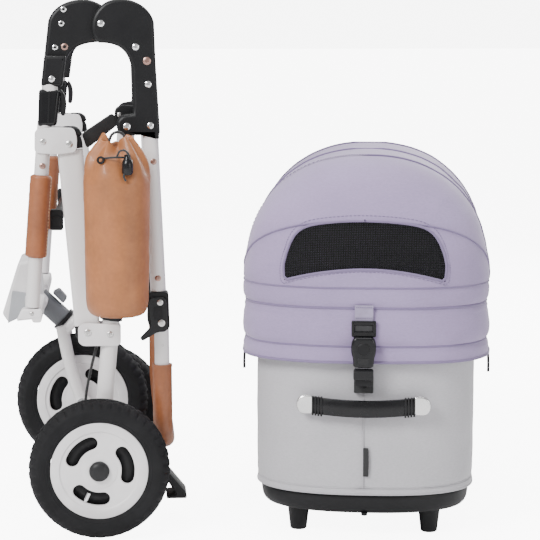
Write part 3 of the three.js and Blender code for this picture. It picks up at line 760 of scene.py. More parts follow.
def leg(prefix, side, body):
    y = side * SIDE_PLANE
    head, foot = (LEG_HEAD[0], y, LEG_HEAD[1]), (LEG_FOOT[0], y, LEG_FOOT[1])
    tube(prefix + "_leg_tube", [head, foot], 11, "white", body, [prefix + "_front_leg"])
    bracket = round_off([(-93.5, 622), (-66, 626), (-34, 624.5), (-29.4, 608), (-31, 588), (-60, 584.6),
                         (-94, 587)], 7)
    cheeks(prefix + "_clevis", bracket, side, (209.6, 212.4, 183.6, 186.4), "white_plastic", body,
           prefix + "_leg_bracket", 0.9)
    stud(prefix + "_clevis_rivet", -81, 604, side * 213.2, side, 4.6, "steel", body)
    stud(prefix + "_clevis_pivot", *RAIL_TOP, side * 213.2, side, 5.2, "steel", body)
    cap = round_off([(-60.5, 612), (-58, 621), (-50, 626.4), (-33, 626.4), (-25, 621), (-22.5, 612)], 4)
    plate(prefix + "_bracket_cap", cap, side * 187, side * 209, "black", "rails", bevel=4)
    stud(prefix + "_leg_tube_rivet", -82.4, 567, side * 208.6, side, 4.8, "rivet", body)
    sleeve(prefix, side, body)


def sleeve(prefix, side, body):
    """The leather sleeve round a front leg: soft bulges, rolled hems and a stitched seam."""
    top, bottom = Vector((-84.8, side * SIDE_PLANE, 553)), Vector((-94.7, side * SIDE_PLANE, 427))
    along = (bottom - top).normalized()
    across = Vector((along.z, 0, -along.x)) * -1
    rings = []
    levels = 60
    for i in range(levels + 1):
        t = i / levels
        centre = top.lerp(bottom, t)
        edge = min(t, 1 - t) * levels
        radius = 11.6 + 5.0 * min(1.0, (edge / 1.6) ** 0.5)
        ring = []
        for k in range(48):
            angle = 2 * math.pi * k / 48
            around = Vector((t * 22, math.cos(angle) * 1.4, math.sin(angle) * 1.4 + side))
            r = radius + 0.35 * noise.noise(around)
            ring.append(centre + across * r * math.cos(angle) + Vector((0, 1, 0)) * r * math.sin(angle))
        rings.append(ring)
    name = prefix + "_leg_leather"
    cover = skin(name, rings, "leather", body, [prefix + "_leg_sleeve"])
    tidy_normals(cover)
    seam = [top.lerp(bottom, t) + across * 15.6 + Vector((0, side * 6.6, 0)) for t in (0.02, 0.98)]
    stitched_seam(prefix + "_sleeve_stitch", seam, body, 5.0)


def front_cross_bar(body):
    across_bar("leg_cross_tube", (-62, 480), 184, 8, "black", body, ["leg_cross_bar"])
    for prefix, side in SIDES:
        plate(prefix + "_cross_block", round_off([(-73, 498), (-53, 498), (-53, 466), (-73, 466)], 4),
              side * 165, side * 182, "black", body, bevel=2)


def front_nose(body):
    """The white moulded nose over the front wheel: faceted top, and a pale grey sheet beneath as painted
    shade for the shadowed inside of the open shell.
    """
    edge = [(-155.5, 318), (-129, 401), (-101, 407), (-92, 347), (-82.5, 336), (-94, 313), (-108, 323),
            (-146, 304)]
    plate("nose_shell", round_off(edge, 4), -57.5, 57.5, "white_plastic", body, ["front_bridge"], bevel=5)
    # painted shade: a pale grey sheet under the shell in place of the shadow inside it
    under = round_off([(-147, 303), (-109, 321), (-104, 350), (-139, 356)], 2)
    plate("nose_underside", under, -58.6, 58.6, "shade", body, bevel=0.8)
    for prefix, side in SIDES:
        inner, outer = side * 56, side * 209
        rings = []
        for x0, y in ((-119, inner), (-101, outer)):
            section = round_off([(x0, 328), (-86.2, 328), (-86.2, 349), (x0, 349)], 5)
            rings.append([(x, y, z) for x, z in section])
        wing = skin(prefix + "_nose_wing", rings, "white_plastic", body, caps=(True, True))
        tidy_normals(wing)
        foot = round_off([(-116, 349), (-87, 349), (-85, 334.5), (-125, 330.5)], 4)
        plate(prefix + "_leg_foot", foot, side * 186.4, side * 209.6, "white_plastic", body, bevel=2.5)
        stud(prefix + "_nose_rivet", -101, 342, side * 209.8, side, 3.4, "steel", body)
    tube("head_barrel", [on_axis(-43.5), on_axis(9)], 16.8, "grey", body, ["steering_head"])
    tube("head_collar", [on_axis(8.6), on_axis(14.3)], 20.8, "black", body)
    lock = round_off([(-77.5, 345), (-66, 351.5), (-52.5, 336), (-60, 326.5)], 4)
    plate("lock_lever", lock, -11.6, 11.6, "grey", "caster_lock", ["caster_lock"], bevel=2.5)


def fork():
    body = "fork"
    for prefix, side in SIDES:
        y = side * 37.8
        arm = [(-61, y, 294), (-57, y, 272), (-50.5, y, 240), (-41, y, 205), (-32, y, 178),
               (-29.5, y, 169.3)]
        tube(prefix + "_fork_arm", arm, 10.2, "white", body, (), True, 12)
        eye = [(5, -6), (12.5, -6), (13.6, -4.8), (13.6, 4.8), (12.5, 6), (5, 6)]
        lathe(prefix + "_fork_eye", eye, (FRONT_AXLE[0], y, FRONT_AXLE[1]), "white", body, segments=48)
        stud(prefix + "_axle_head", *FRONT_AXLE, side * 49.4, side, 8.6, "chrome", body, 5)
    crown = round_off([steer_point(15.8, -18), steer_point(15.8, 18), steer_point(27.2, 19),
                       steer_point(30, 12), steer_point(30, -12), steer_point(27.2, -19)], 5)
    plate("fork_crown", crown, -46, 46, "white", body, ["fork"], bevel=4)
    across_bar("front_axle_rod", FRONT_AXLE, 47, 5, "chrome", body, ["front_axle_bolt"])


def rear_legs():
    body = "rear_legs"
    for prefix, side in SIDES:
        y = side * SIDE_PLANE
        head, foot = (REAR_HEAD[0], y, REAR_HEAD[1]), (REAR_FOOT[0], y, REAR_FOOT[1])
        tube(prefix + "_rear_stem", [head, foot], 13, "white", body, [prefix + "_rear_leg"])
        eye = arc(*ARM_PIVOT, 12.8, -5, 175) + [(30, 594), (33, 586), (52, 585), (55, 592)]
        plate(prefix + "_rear_eye", eye, side * 191.8, side * 204.2, "white", body, bevel=2.5)
        block = [(0.0001, 185.8), (17, 185.8), (18, 187), (18, 209.6), (17, 210.8), (0.0001, 210.8)]
        lathe(prefix + "_axle_block", [(r, h * side) for r, h in block], (REAR_AXLE[0], 0, REAR_AXLE[1]),
              "black", body)
        bracket = round_off([(-31, 322), (-22, 327.4), (30, 325), (34, 320), (34, 295), (28, 291.6),
                             (-24, 292), (-31, 298)], 5)
        cheeks(prefix + "_hinge", bracket, side, (211.4, 214.2, 181.8, 184.6), "white_plastic", body,
               prefix + "_rail_bracket", 0.9)
        stud(prefix + "_hinge_pin", *RAIL_PIVOT, side * 215.2, side, 5.4, "steel", body)
        stud(prefix + "_hinge_rivet", 17.8, 309.9, side * 215.2, side, 4.8, "steel", body)
    beam(body)
    pouch(body)
    tube("brake_cable_jacket", [(-3.6, -198, 288), (-12, -198, 255), (-21, -198, 205), (-22, -198, 160),
                                (-19.5, -198, 130)], 2.2, "cord", body, ["brake_cable"], True)
    tube("collar_band", [(20.2, -198, 339), (18.9, -198, 330.5)], 17.3, "black", body, ["pouch_collar"])


def beam(body):
    across_bar("beam_tube", BEAM, 176, 11, "black_steel", body, ["rear_beam"])
    heading = math.degrees(math.atan2(BEAM[1] - REAR_AXLE[1], BEAM[0] - REAR_AXLE[0]))
    arm = arc(*REAR_AXLE, 16.8, heading + 90, heading + 270) + arc(*BEAM, 14.8, heading - 90, heading + 90)
    for prefix, side in SIDES:
        plate(prefix + "_beam_arm", arm, side * 175.2, side * 184.5, "black_steel", body, bevel=2)
    pedal = round_off([(101, 66), (101, 77), (109, 76), (136, 43), (136, 35.4), (104, 35.4), (104, 40.5),
                       (119, 42), (107, 62)], 3)
    plate("pedal_tread", pedal, -149.6, -96.4, "black", "brake_pedal", ["brake_pedal"], bevel=2.5)
    ring = [(11.4, -149.6), (15.8, -149.6), (15.8, -96.4), (11.4, -96.4)]
    lathe("pedal_ring", ring, (BEAM[0], 0, BEAM[1]), "black", "brake_pedal", segments=40)


def rails():
    body = "rails"
    for prefix, side in SIDES:
        a, b = Vector((RAIL_TOP[0], 0, RAIL_TOP[1])), Vector((RAIL_PIVOT[0], 0, RAIL_PIVOT[1]))
        along = (b - a).normalized()
        across = Vector((along.z, 0, -along.x)) * -1
        rings = []
        for t in (0.0, 0.02, 0.5, 0.98, 1.0):
            centre = a.lerp(b, 0.035 + 0.93 * t) + Vector((0, side * SIDE_PLANE, 0))
            rings.append([centre + across * 19.3 * signed_power(math.cos(k), 0.55)
                          + Vector((0, 8.9 * signed_power(math.sin(k), 0.75), 0))
                          for k in (2 * math.pi * i / 48 for i in range(48))])
        tube_piece = skin(prefix + "_rail_tube", rings, "white", body, [prefix + "_rail"], caps=(True, True))
        tidy_normals(tube_piece)
        for end, (x, z) in (("top", RAIL_TOP), ("low", RAIL_PIVOT)):
            heading = math.degrees(math.atan2(along.z, along.x)) + (180 if end == "top" else 0)
            cap = arc(x, z, 19.4, heading - 90, heading + 90, 20)
            shift = along * (-8 if end == "low" else 8)
            cap += [(cap[-1][0] + shift.x, cap[-1][1] + shift.z), (cap[0][0] + shift.x, cap[0][1] + shift.z)]
            plate(f"{prefix}_rail_cap_{end}", cap, side * 189.1, side * 206.9, "black", body, bevel=2.5)
    across_bar("rail_cross_tube", (-29, 450), 188.5, 8, "black", body, ["rail_cross_bar"])


def signed_power(value, power):
    return math.copysign(abs(value) ** power, value)


def axle_pins():
    for prefix, side in SIDES:
        x, z = REAR_AXLE
        tube(prefix + "_axle_rod", [(x, side * 187.2, z), (x, side * 259.3, z)], 5, "steel", "rear_axle",
             [prefix + "_axle_pin"])


# ---------- storage pouch ----------
POUCH_X, POUCH_Y, POUCH_LOW, POUCH_TOP = 29.6, -266.5, 347, 617


def pouch_shape(r, h, angle):
    """Slack cloth: broad folds low down, sharp gathers and one deep pleat where the cord pulls."""
    t = (h - POUCH_LOW) / (POUCH_TOP - POUCH_LOW)
    gather = max(0.0, min(1.0, (t - 0.74) / 0.16))
    fold = math.sin(angle * 7 + 1.6 * math.sin(angle * 2) + 2.4 * t) * 3.4 * gather
    fold -= abs(math.sin(angle * 3.5 + 0.4 + 5 * (t - 0.8))) * 4.2 * gather
    pleat = (angle - math.radians(289)) / math.radians(13)
    fold -= 9.0 * gather * math.exp(-pleat * pleat)
    fold += 0.9 * noise.noise(Vector((math.cos(angle) * 1.5, math.sin(angle) * 1.5, t * 3)))
    crease = abs(noise.noise(Vector((math.cos(angle) * 2.2 + 9, math.sin(angle) * 2.2, t * 9 + 5))))
    sag = 1.5 * gather * crease - 0.7 * crease
    peak = 11 * max(0.0, (t - 0.88) / 0.1) * (0.6 * math.cos(angle * 2 + 0.4)
                                              + 0.35 * math.sin(angle * 5) - 0.35)
    flat = max(0.0, min(1.0, (t - 0.8) / 0.15))
    spread = 1 + 0.16 * flat * math.cos(2 * angle)
    return max(0.01, (r + fold * min(1, r / 22) + sag) * spread), h + peak


def pouch(body):
    profile = [(0.01, 0), (24, 0), (34, 1.2), (40, 4), (44.4, 10), (46.6, 20), (47.2, 34), (47.8, 60),
               (48.2, 90), (48.6, 120), (49, 150), (49.4, 175), (49.8, 192), (50, 203), (49.2, 212),
               (45.6, 225), (38.5, 240), (30.5, 252), (24.5, 261), (20.5, 266.5), (16, 264), (12, 256),
               (6, 251), (0.01, 249)]
    smooth = densify([(r, POUCH_LOW + h) for r, h in profile], 5)
    obj = lathe("pouch_bag", smooth, (POUCH_X, POUCH_Y, 0), "pouch", body, ["storage_pouch"], 144, "Z",
                pouch_shape)
    pouch_cord(body)


def densify(points, steps):
    out = []
    for i in range(len(points) - 1):
        p0, p1, p2, p3 = (points[max(0, min(len(points) - 1, i + k))] for k in (-1, 0, 1, 2))
        for s in range(steps):
            t = s / steps
            out.append(tuple(0.5 * (2 * b + (c - a) * t + (2 * a - 5 * b + 4 * c - d) * t * t
                                    + (3 * b - a - 3 * c + d) * t ** 3)
                             for a, b, c, d in zip(p0, p1, p2, p3)))
    return [*out, points[-1]]


def pouch_cord(body):
    """Drawcord round the gathered top, its lock hanging in the pleat, an eyelet and a hanging loop."""
    neck = [(POUCH_X + r * math.cos(a), POUCH_Y + r * math.sin(a), POUCH_LOW + 238 + 2 * math.sin(3 * a))
            for a, r in ((math.radians(244 + 4 * i), 41.5 - 5 * math.exp(-((244 + 4 * i - 289) / 14) ** 2))
                         for i in range(12))]
    tube("pouch_drawcord", neck, 1.5, "cord", body)
    tails = [[(40, POUCH_Y - 36, 598), (45, POUCH_Y - 44, 594), (48, POUCH_Y - 47, 586),
              (47, POUCH_Y - 47, 578)], [(30, POUCH_Y - 38, 588), (36, POUCH_Y - 45, 597),
                                         (44, POUCH_Y - 48, 596), (50, POUCH_Y - 48, 584)],
             [(44, POUCH_Y - 48, 568), (40, POUCH_Y - 50, 560), (43, POUCH_Y - 50, 553)]]
    for i, points in enumerate(tails):
        tube(f"pouch_cord_tail_{i}", points, 1.5, "cord", body, (), True)
    lock = [(0.01, 0), (6.2, 0.5), (8.2, 4), (8.4, 16), (7, 22), (5, 24), (4.6, 30), (0.01, 31)]
    lathe("cord_lock", [(r, 561 + h) for r, h in lock], (45.5, POUCH_Y - 44, 0), "gloss_black", body,
          axis="Z", segments=32)
    loop = [(44, POUCH_Y + 6, 604), (38, POUCH_Y + 4, 619), (26, POUCH_Y + 2, 620), (18, POUCH_Y, 606),
            (16, POUCH_Y - 2, 596)]
    tube("pouch_hang_loop", loop, 2.2, "strap", body, (), True)
    eyelet = [(2.6, -1), (2.6, 1), (5, 1.6), (6, 0), (5, -1.6), (2.6, -1)]
    lathe("pouch_eyelet", eyelet, (6.5, POUCH_Y - 41, 583), "black", body, segments=32)


# ---------- carrier ----------
def carrier_place(x, y, z):
    """A point of the carrier's own frame, turned into the row frame."""
    c, s = math.cos(CARRIER_YAW), math.sin(CARRIER_YAW)
    return (CARRIER_X + x * c - y * s, CARRIER_Y + x * s + y * c, z)


def end_reach(x, half_width, depth, power=2.5):
    """How far an end bulges beyond its shoulder at distance x from the middle."""
    share = min(1.0, abs(x) / half_width)
    return depth * (1 - share ** power) ** (1 / power)


def plan_ring(half_width, half_length, depth, ends=30, straights=18, power=2.5):
    """The carrier's plan outline: straight sides and softly squared ends, from the near middle round."""
    shoulder = half_length - depth
    points = []
    for sign in (-1, 1):
        for i in range(2 * ends):
            angle = -math.pi / 2 + math.pi * i / (2 * ends)
            x = signed_power(math.sin(angle), 2 / power) * half_width * (-sign)
            y = sign * (shoulder + depth * abs(math.cos(angle)) ** (2 / power))
            points.append((x, y))
        for i in range(straights):
            points.append((-sign * half_width, sign * shoulder * (1 - 2 * i / straights)))
    return points


def hood_level(share):
    """Half width, half length and end depth of the hood at a share of the dome's rise."""
    across = max(0.0, 1 - share ** 2.25) ** (1 / 2.25)
    back = HOOD_RUN * (1 - math.sqrt(max(0.0, 1 - share ** 2)))
    return HOOD_HALF_WIDTH * across, HOOD_HALF_LENGTH - back, max(1.0, END_DEPTH * across)


def skirt_offset(z):
    """How far the skirt's cloth stands in or out of the straight side at a height."""
    dips = ((358, 4.0, 5.0), (346, 1.6, 3.5), (300, 4.2, 5.0), (388, 1.6, 4.0))
    offset = -1.0
    for height, depth, width in dips:
        offset -= depth * math.exp(-((z - height) / width) ** 2)
    return offset + 1.4 * math.exp(-((z - 325) / 16) ** 2)


def cloth_noise(x, y, z, amount, scale=0.012):
    return amount * noise.noise(Vector((x * scale, y * scale, z * scale * 1.6)))


def hood_rings():
    rings = []
    lows = [HOOD_HEM + (HOOD_SPRING - 4 - HOOD_HEM) * i / 29 for i in range(30)]
    for z in lows:
        offset = skirt_offset(z)
        ring = plan_ring(HOOD_HALF_WIDTH + offset, HOOD_HALF_LENGTH + offset, END_DEPTH)
        rings.append([(x, y, z) for x, y in ring])
    for i in range(34):
        share = math.sin(math.radians(90 * i / 33.6))
        width, length, depth = hood_level(share)
        offset = -1.0 - 1.2 * math.exp(-(share / 0.02) ** 2)
        ring = plan_ring(max(2.0, width + offset), length + offset, depth)
        rings.append([(x, y, HOOD_SPRING + (HOOD_TOP - HOOD_SPRING) * share + offset * share)
                      for x, y in ring])
    return [[hood_sway(x, y, z) for x, y, z in ring] for ring in rings]


def hood_sway(x, y, z):
    """Small slack waves all over the cloth."""
    centre = Vector((x, y, 0)).normalized()
    wave = cloth_noise(x, y, z, 3.0) + cloth_noise(x, y, z, 1.2, 0.036)
    return (x + centre.x * wave, y + centre.y * wave, z)


def carrier_skin(name, rings, material, body, replaces=(), caps=(True, True)):
    """A closed piece of the carrier through rings in its own frame."""
    placed = [[carrier_place(*p) for p in ring] for ring in rings]
    piece = skin(name, placed, material, body, replaces, caps=caps)
    tidy_normals(piece)
    return piece


def window_low(x):
    return 417 - 19 * (abs(x) / WINDOW_HALF) ** 2


def window_high(x):
    return 488 - 15 * (abs(x) / WINDOW_HALF) ** 2 - 45 * (abs(x) / WINDOW_HALF) ** 10


def hood():
    body = "hood"
    rings = [[carrier_place(*p) for p in ring] for ring in hood_rings()]
    cover = skin("hood_cover", rings, "hood", body, ["hood"], caps=(False, True))
    thick = cover.modifiers.new("thickness", "SOLIDIFY")
    thick.thickness = 0.0022
    thick.offset = -1
    window_net(body)
    window_binding(body)
    hoop_seams(body)
    skirt_trims(body)


def window_net(body):
    """The net, taut across the window just inside the cloth."""
    rings = []
    for i in range(17):
        ring = []
        for k in range(61):
            x = (-1 + 2 * k / 60) * (WINDOW_HALF - 0.2)
            low, high = window_low(x) - 1.5, window_high(x) + 1.5
            ring.append(on_face(x, low + (high - low) * i / 16, -0.6))
        rings.append(ring)
    skin("window_mesh", rings, "net", body, ["hood_window"], closed=False)


def hood_face_y(x, z):
    """y of the hood's near face at a place in front view."""
    share = max(0.0, min(0.999, (z - HOOD_SPRING) / (HOOD_TOP - HOOD_SPRING)))
    width, length, depth = hood_level(share) if share > 0 else (HOOD_HALF_WIDTH, HOOD_HALF_LENGTH, END_DEPTH)
    width, length = width - 1, length - 1
    if abs(x) >= width:
        return None
    return -(length - depth) - end_reach(x, width, depth)


def on_face(x, z, proud=0.0):
    y = hood_face_y(x, z)
    sway = hood_sway(x, y, z)
    return carrier_place(sway[0], sway[1] - proud, z)


def window_binding(body):
    low = [(x, window_low(x)) for x in (-116 + 232 * i / 40 for i in range(41))]
    high = [(x, window_high(x)) for x in (118 - 236 * i / 40 for i in range(41))]
    outline = [*low, (120.4, 404), (121.4, 414), (121.2, 424), *high, (-121.2, 424), (-121.4, 414),
               (-120.4, 404)]
    ring = [on_face(x, z, 0.6) for x, z in outline]
    loop_bar("window_binding", ring, 2.0, "lavender_trim", body, sides=4)
    outer = [on_face(x * 1.045, 440 + (z - 440) * 1.16, 0.2) for x, z in outline]
    stitched_seam("window_stitch", [*outer, outer[0]], body, 3.4, "lavender_trim")


def plane_seam(pivot_y, lean, top_z):
    """The line where a hoop's leaning plane cuts the dome: one seam of the hood."""
    half = []
    steps = 44
    for i in range(steps + 1):
        z = HOOD_SPRING + (top_z - HOOD_SPRING) * math.sin(math.radians(90 * i / steps))
        y = pivot_y + lean * (z - HOOD_SPRING)
        share = min(0.9995, (z - HOOD_SPRING) / (HOOD_TOP - HOOD_SPRING))
        width, length, depth = hood_level(share)
        shoulder = length - depth
        over = (abs(y) - shoulder) / depth
        if over >= 1:
            x = 0.0
        elif over > 0:
            x = (width - 1) * (1 - over ** 2.5) ** (1 / 2.5)
        else:
            x = width - 1
        half.append((x, y, z))
    return [*half, *[(-x, y, z) for x, y, z in reversed(half[:-1])]]


def hoop_seams(body):
    top = HOOD_TOP - 1
    seams = {"front_panel": (-150, -1.16, 489.5), "front_hoop": (-146, -0.03, top),
             "middle_hoop": (-20, 0.0, top), "rear_hoop": (130, 0.03, top),
             "rear_panel": (150, 1.16, 489.5)}
    for name, (pivot, lean, top) in seams.items():
        path = [carrier_place(*hood_sway(x, y, z)) for x, y, z in plane_seam(pivot, lean, top)]
        tube(name + "_seam", path, 1.5, "lavender_trim", body, sides=3)
        beside = [carrier_place(*hood_sway(x, y + (6 if y < 0 else -6), z + 0.4))
                  for x, y, z in plane_seam(pivot, lean, top)]
        stitched_seam(name + "_stitch", beside, body, 3.6, "lavender_trim")


def band_ring(z, proud):
    """A ring round the hood's skirt, following the sway of its cloth."""
    ring = plan_ring(HOOD_HALF_WIDTH + proud, HOOD_HALF_LENGTH + proud, END_DEPTH)
    return [carrier_place(*hood_sway(x, y, z)) for x, y in ring]


def skirt_trims(body):
    for i, (z, radius, proud) in enumerate(((389, 1.4, -2.2), (358.5, 2.0, -4.5), (353.5, 1.0, -4.2),
                                            (345, 0.8, -3.0), (300.5, 1.6, -4.8), (277, 2.2, -1.2))):
        loop_bar(f"skirt_trim_{i}", band_ring(z, proud), radius, "lavender_trim", body)
    for side in (-1, 1):
        x = side * (HOOD_HALF_WIDTH + 1.5)
        slider = carrier_place(x, -118, 274)
        pull = [carrier_place(x, -118, 269), carrier_place(x + side, -118, 250),
                carrier_place(x + side, -117, 236)]
        tube(f"zip_slider_{side + 2}", [slider, pull[0]], 3.0, "gloss_black", body)
        tube(f"zip_pull_{side + 2}", pull, 2.1, "cord", body, (), True)


def wall_ring(z, bulge):
    ring = plan_ring(WALL_HALF_WIDTH + bulge, WALL_HALF_LENGTH + bulge, END_DEPTH)
    return [(x, y, z) for x, y in ring]


def carrier_walls():
    """The padded cloth wall, inside and out, its base binding and its middle seam."""
    body = "carrier"
    rings = []
    heights = [70 + 260 * i / 52 for i in range(53)]
    for z in heights:
        pad = -1.2 + 1.0 * math.sin(math.pi * (z - 70) / 260) - 2.2 * math.exp(-((z - 82) / 2.5) ** 2)
        rings.append([wall_point(x, y, z) for x, y, z in wall_ring(z, pad)])
    inner = [[wall_point(x, y, z) for x, y, z in wall_ring(z, -11)] for z in reversed(heights[::4])]
    cloth = carrier_skin("padded_wall", rings + inner, "grey_cloth", body, ["carrier_wall"], (False, False))
    for i, (z, radius, bulge) in enumerate(((71.2, 1.3, -1.2), (82, 0.8, -2.2), (79.5, 0.5, -1.8))):
        ring = [carrier_place(*p) for p in wall_ring(z, bulge)]
        loop_bar(f"wall_binding_{i}", ring, radius, "grey_trim", body)
    seam = [carrier_place(0, -WALL_HALF_LENGTH + 0.2, z) for z in (83, 120, 180, 240, 300)]
    tube("wall_middle_seam", seam, 0.8, "grey_trim", body, sides=3)
    label()


def wall_point(x, y, z):
    """Quilted softness, and a shallow furrow down the middle seam of each end."""
    furrow = 1.6 * math.exp(-(x / 4) ** 2) if abs(y) > 200 else 0
    out = Vector((x, y, 0)).normalized()
    wave = cloth_noise(x, y, z, 1.0, 0.018) - furrow
    return (x + out.x * wave, y + out.y * wave, z)


def label():
    """A small plain cloth tab sewn into the middle seam."""
    front = -WALL_HALF_LENGTH
    rings = []
    for z in (100, 102, 122, 142, 144):
        lean = 1.4 * math.sin(math.pi * (z - 100) / 44)
        reach = 8 + lean * 0.4
        rings.append([(0, front - 0.6, z), (reach, front - 2.0 - lean, z), (reach, front - 2.9 - lean, z),
                      (0, front - 1.8, z)])
    tab = carrier_skin("plain_tab", rings, "cord", "carrier")


def carrier_base():
    body = "carrier"
    levels = ((39, -16), (40, -13), (43, -10.6), (48, -8.6), (56, -7.4), (63, -6.8), (66, -7.0), (68.6, -8))
    rings = [wall_ring(z, inset) for z, inset in levels]
    carrier_skin("base_tray", rings, "black", body, ["carrier_base"])
    foot = [(0.01, 0), (11.4, 0), (12.8, 1.4), (16.6, 34), (20, 39.5), (0.01, 39.6)]
    for i, (sx, sy) in enumerate(((-1, -1), (1, -1), (-1, 1), (1, 1))):
        lathe(f"foot_{i}", foot, carrier_place(sx * FOOT_X, sy * FOOT_Y, 0), "black", body, axis="Z",
              segments=48)
    nub = [(0.01, 36), (4, 36.4), (5, 38), (5, 41), (0.01, 41)]
    lathe("base_nub", nub, carrier_place(2, -WALL_HALF_LENGTH + 12, 0), "black", body, axis="Z", segments=24)


def mat():
    """The padded floor mat, quilted in squares."""
    rings = []
    for i in range(14):
        t = i / 13
        inset = -16 - 4 * (1 - math.sin(math.pi * t)) ** 2
        rings.append(wall_ring(70 + 20 * t, inset))
    for i in range(1, 16):
        scale = 1 - i / 16
        ring = []
        for x, y, _ in wall_ring(0, -20):
            px, py = x * scale, y * scale
            quilt = abs(math.sin(px / 26)) * abs(math.sin(py / 26))
            ring.append((px, py, 87 + 3.4 * quilt ** 0.5))
        rings.append(ring)
    pad = carrier_skin("floor_mat", rings, "fleece", "carrier", ["carrier_mat"])


def rim_frame():
    ring = [carrier_place(*p) for p in wall_ring(334.8, -6)]
    loop_bar("rim_frame_tube", ring, 4.2, "steel", "carrier", ["carrier_rim_frame"], sides=6)


def buckle():
    """The closing strap and its buckle on the near end of the carrier."""
    face = -HOOD_HALF_LENGTH
    rings = []
    for z, proud in ((336, 2.6), (342, 2.4), (350, 2.0), (360, 2.2), (364, 1.2)):
        outer, inner = face - proud, face - proud + 1.4
        rings.append([(-13.8, inner, z), (-13.8, outer, z), (13.8, outer, z), (13.8, inner, z)])
    carrier_skin("closing_strap", rings, "lavender_strap", "hood", ["buckle_strap"])
    for i, z in enumerate((361, 345)):
        ends = [carrier_place(-12.5, face - 2.6, z), carrier_place(12.5, face - 2.6, z)]
        stitched_seam(f"strap_stitch_{i}", ends, "hood", 2.6, "lavender_trim")
    for side in (-1, 1):
        x0, x1 = sorted((side * 13.4, side * 18.4))
        box_part(f"buckle_frame_side_{side + 2}", (x0, x1), (face - 7.8, face - 1.5), (318, 341.5),
                 "gloss_black", "buckle", (), 1.8)
    box_part("buckle_frame_top", (-18.2, 18.2), (face - 7.8, face - 3), (334.5, 341.6), "gloss_black",
             "buckle", ["buckle_clip"], 2.2)
    box_part("buckle_frame_low", (-18.2, 18.2), (face - 7.8, face - 1.5), (317, 326), "gloss_black",
             "buckle", (), 2.2)
    box_part("buckle_web", (-13, 13), (face - 5.4, face - 2.2), (318, 338), "strap", "buckle", (), 0.8)
    shell = [(-14.5, 318), (14.5, 318), (18.4, 309), (18.8, 296), (15.4, 284), (15.2, 272), (-15.2, 272),
             (-15.4, 284), (-18.8, 296), (-18.4, 309)]
    carrier_plate("buckle_shell", round_off(shell, 6), face - 16.5, face - 1.6, "gloss_black", "buckle", 4)
    carrier_plate("buckle_button", arc(0, 300, 9.5, 0, 350, 35), face - 18, face - 15, "black", "buckle",
                  1.2)
    carrier_plate("buckle_inset", round_off([(-7, 277), (7, 277), (8.6, 287), (-8.6, 287)], 2), face - 17.4,
                  face - 15, "cap", "buckle", 0.9)
    box_part("catch_block", (-15, 15), (face - 15, face - 2.4), (252.4, 269.6), "gloss_black", "carrier",
             ["buckle_catch"], 3)
    box_part("catch_bridge", (-12.4, 12.4), (face - 8, -WALL_HALF_LENGTH - 1), (243, 261.6), "black",
             "carrier", (), 1.6)
    box_part("catch_tab", (-14.6, 14.6), (-WALL_HALF_LENGTH - 8.4, -WALL_HALF_LENGTH - 0.6), (229, 257),
             "cord", "carrier", (), 1.6)
    snap = [(0.01, -5), (3.4, -4.8), (4.6, -5.6), (5.4, -4.4), (5.4, -3.4), (0.01, -3.4)]
    lathe("snap_ring", snap, carrier_place(1, -WALL_HALF_LENGTH - 4.4, 242), "cap", "carrier", segments=32)


def box_part(name, xs, ys, zs, material, body, replaces, bevel):
    """A block of the carrier with generously rounded edges."""
    verts = [carrier_place(x, y, z) for z in zs for y in ys for x in xs]
    faces = [(0, 2, 3, 1), (4, 5, 7, 6), (0, 1, 5, 4), (2, 6, 7, 3), (0, 4, 6, 2), (1, 3, 7, 5)]
    obj = new_mesh(name, verts, faces, material, body, replaces)
    soften = obj.modifiers.new("round", "BEVEL")
    soften.width = bevel / 1000
    soften.segments = 4
    soften.harden_normals = True
    return obj


def carrier_plate(name, outline, y0, y1, material, body, bevel):
    """A flat plate on the carrier: its outline in the carrier's own x and z."""
    piece = plate(name, outline, y0, y1, material, body, bevel=bevel)
    turn = Matrix.Rotation(CARRIER_YAW, 4, "Z")
    home = Matrix.Translation(Vector((CARRIER_X, CARRIER_Y, 0)) / 1000)
    shift = Matrix.Translation(ORIGIN / 1000)
    piece.data.transform(shift @ home @ turn @ shift.inverted())
    return piece


def carrier_handle():
    """The strap handle: a padded band bowed out between ribbed keepers and two satin end plates."""
    front = -WALL_HALF_LENGTH
    body = "carrier"
    rings = []
    for i in range(61):
        t = -1 + 2 * i / 60
        x = 77 * t
        bow = 7 + 26 * 0.5 * (1 - t * t)
        drop = 3.0 * (1 - t * t)
        section = ((2.6, 197), (-2.0, 197.6), (-3.6, 203), (-3.9, 210), (-3.6, 217), (-2.0, 222.4),
                   (2.6, 223))
        rings.append([(x, front - bow + y, z - drop) for y, z in section])
    band = carrier_skin("handle_band", rings, "gloss_black", body, ["carrier_handle"])
    for side in (-1, 1):
        for k in range(4):
            at = side * (63 + 4.4 * k)
            x0, x1 = at - 1.5, at + 1.5
            bow = 7 + 13 * (1 - (at / 77) ** 2)
            box_part(f"keeper_rib_{side + 2}_{k}", (x0, x1), (front - bow - 5.2, front - bow + 3),
                     (195 - (1 - (at / 77) ** 2) * 3, 224), "gloss_black", body, (), 1.1)
        end = round_off([(side * 74.5, 196.5), (side * 74.5, 225.5), (side * 92, 225.5), (side * 100.5, 218),
                         (side * 100.5, 205), (side * 94, 196.5)], 6)
        carrier_plate(f"handle_plate_{side + 2}", end, front - 9.4, front - 0.6, "satin", body, 2.4)


def hoops():
    for name in ("hood_front_hoop", "hood_rear_hoop"):
        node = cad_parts[name]
        node.data.materials.clear()
        node.data.materials.append(MAT["steel"])


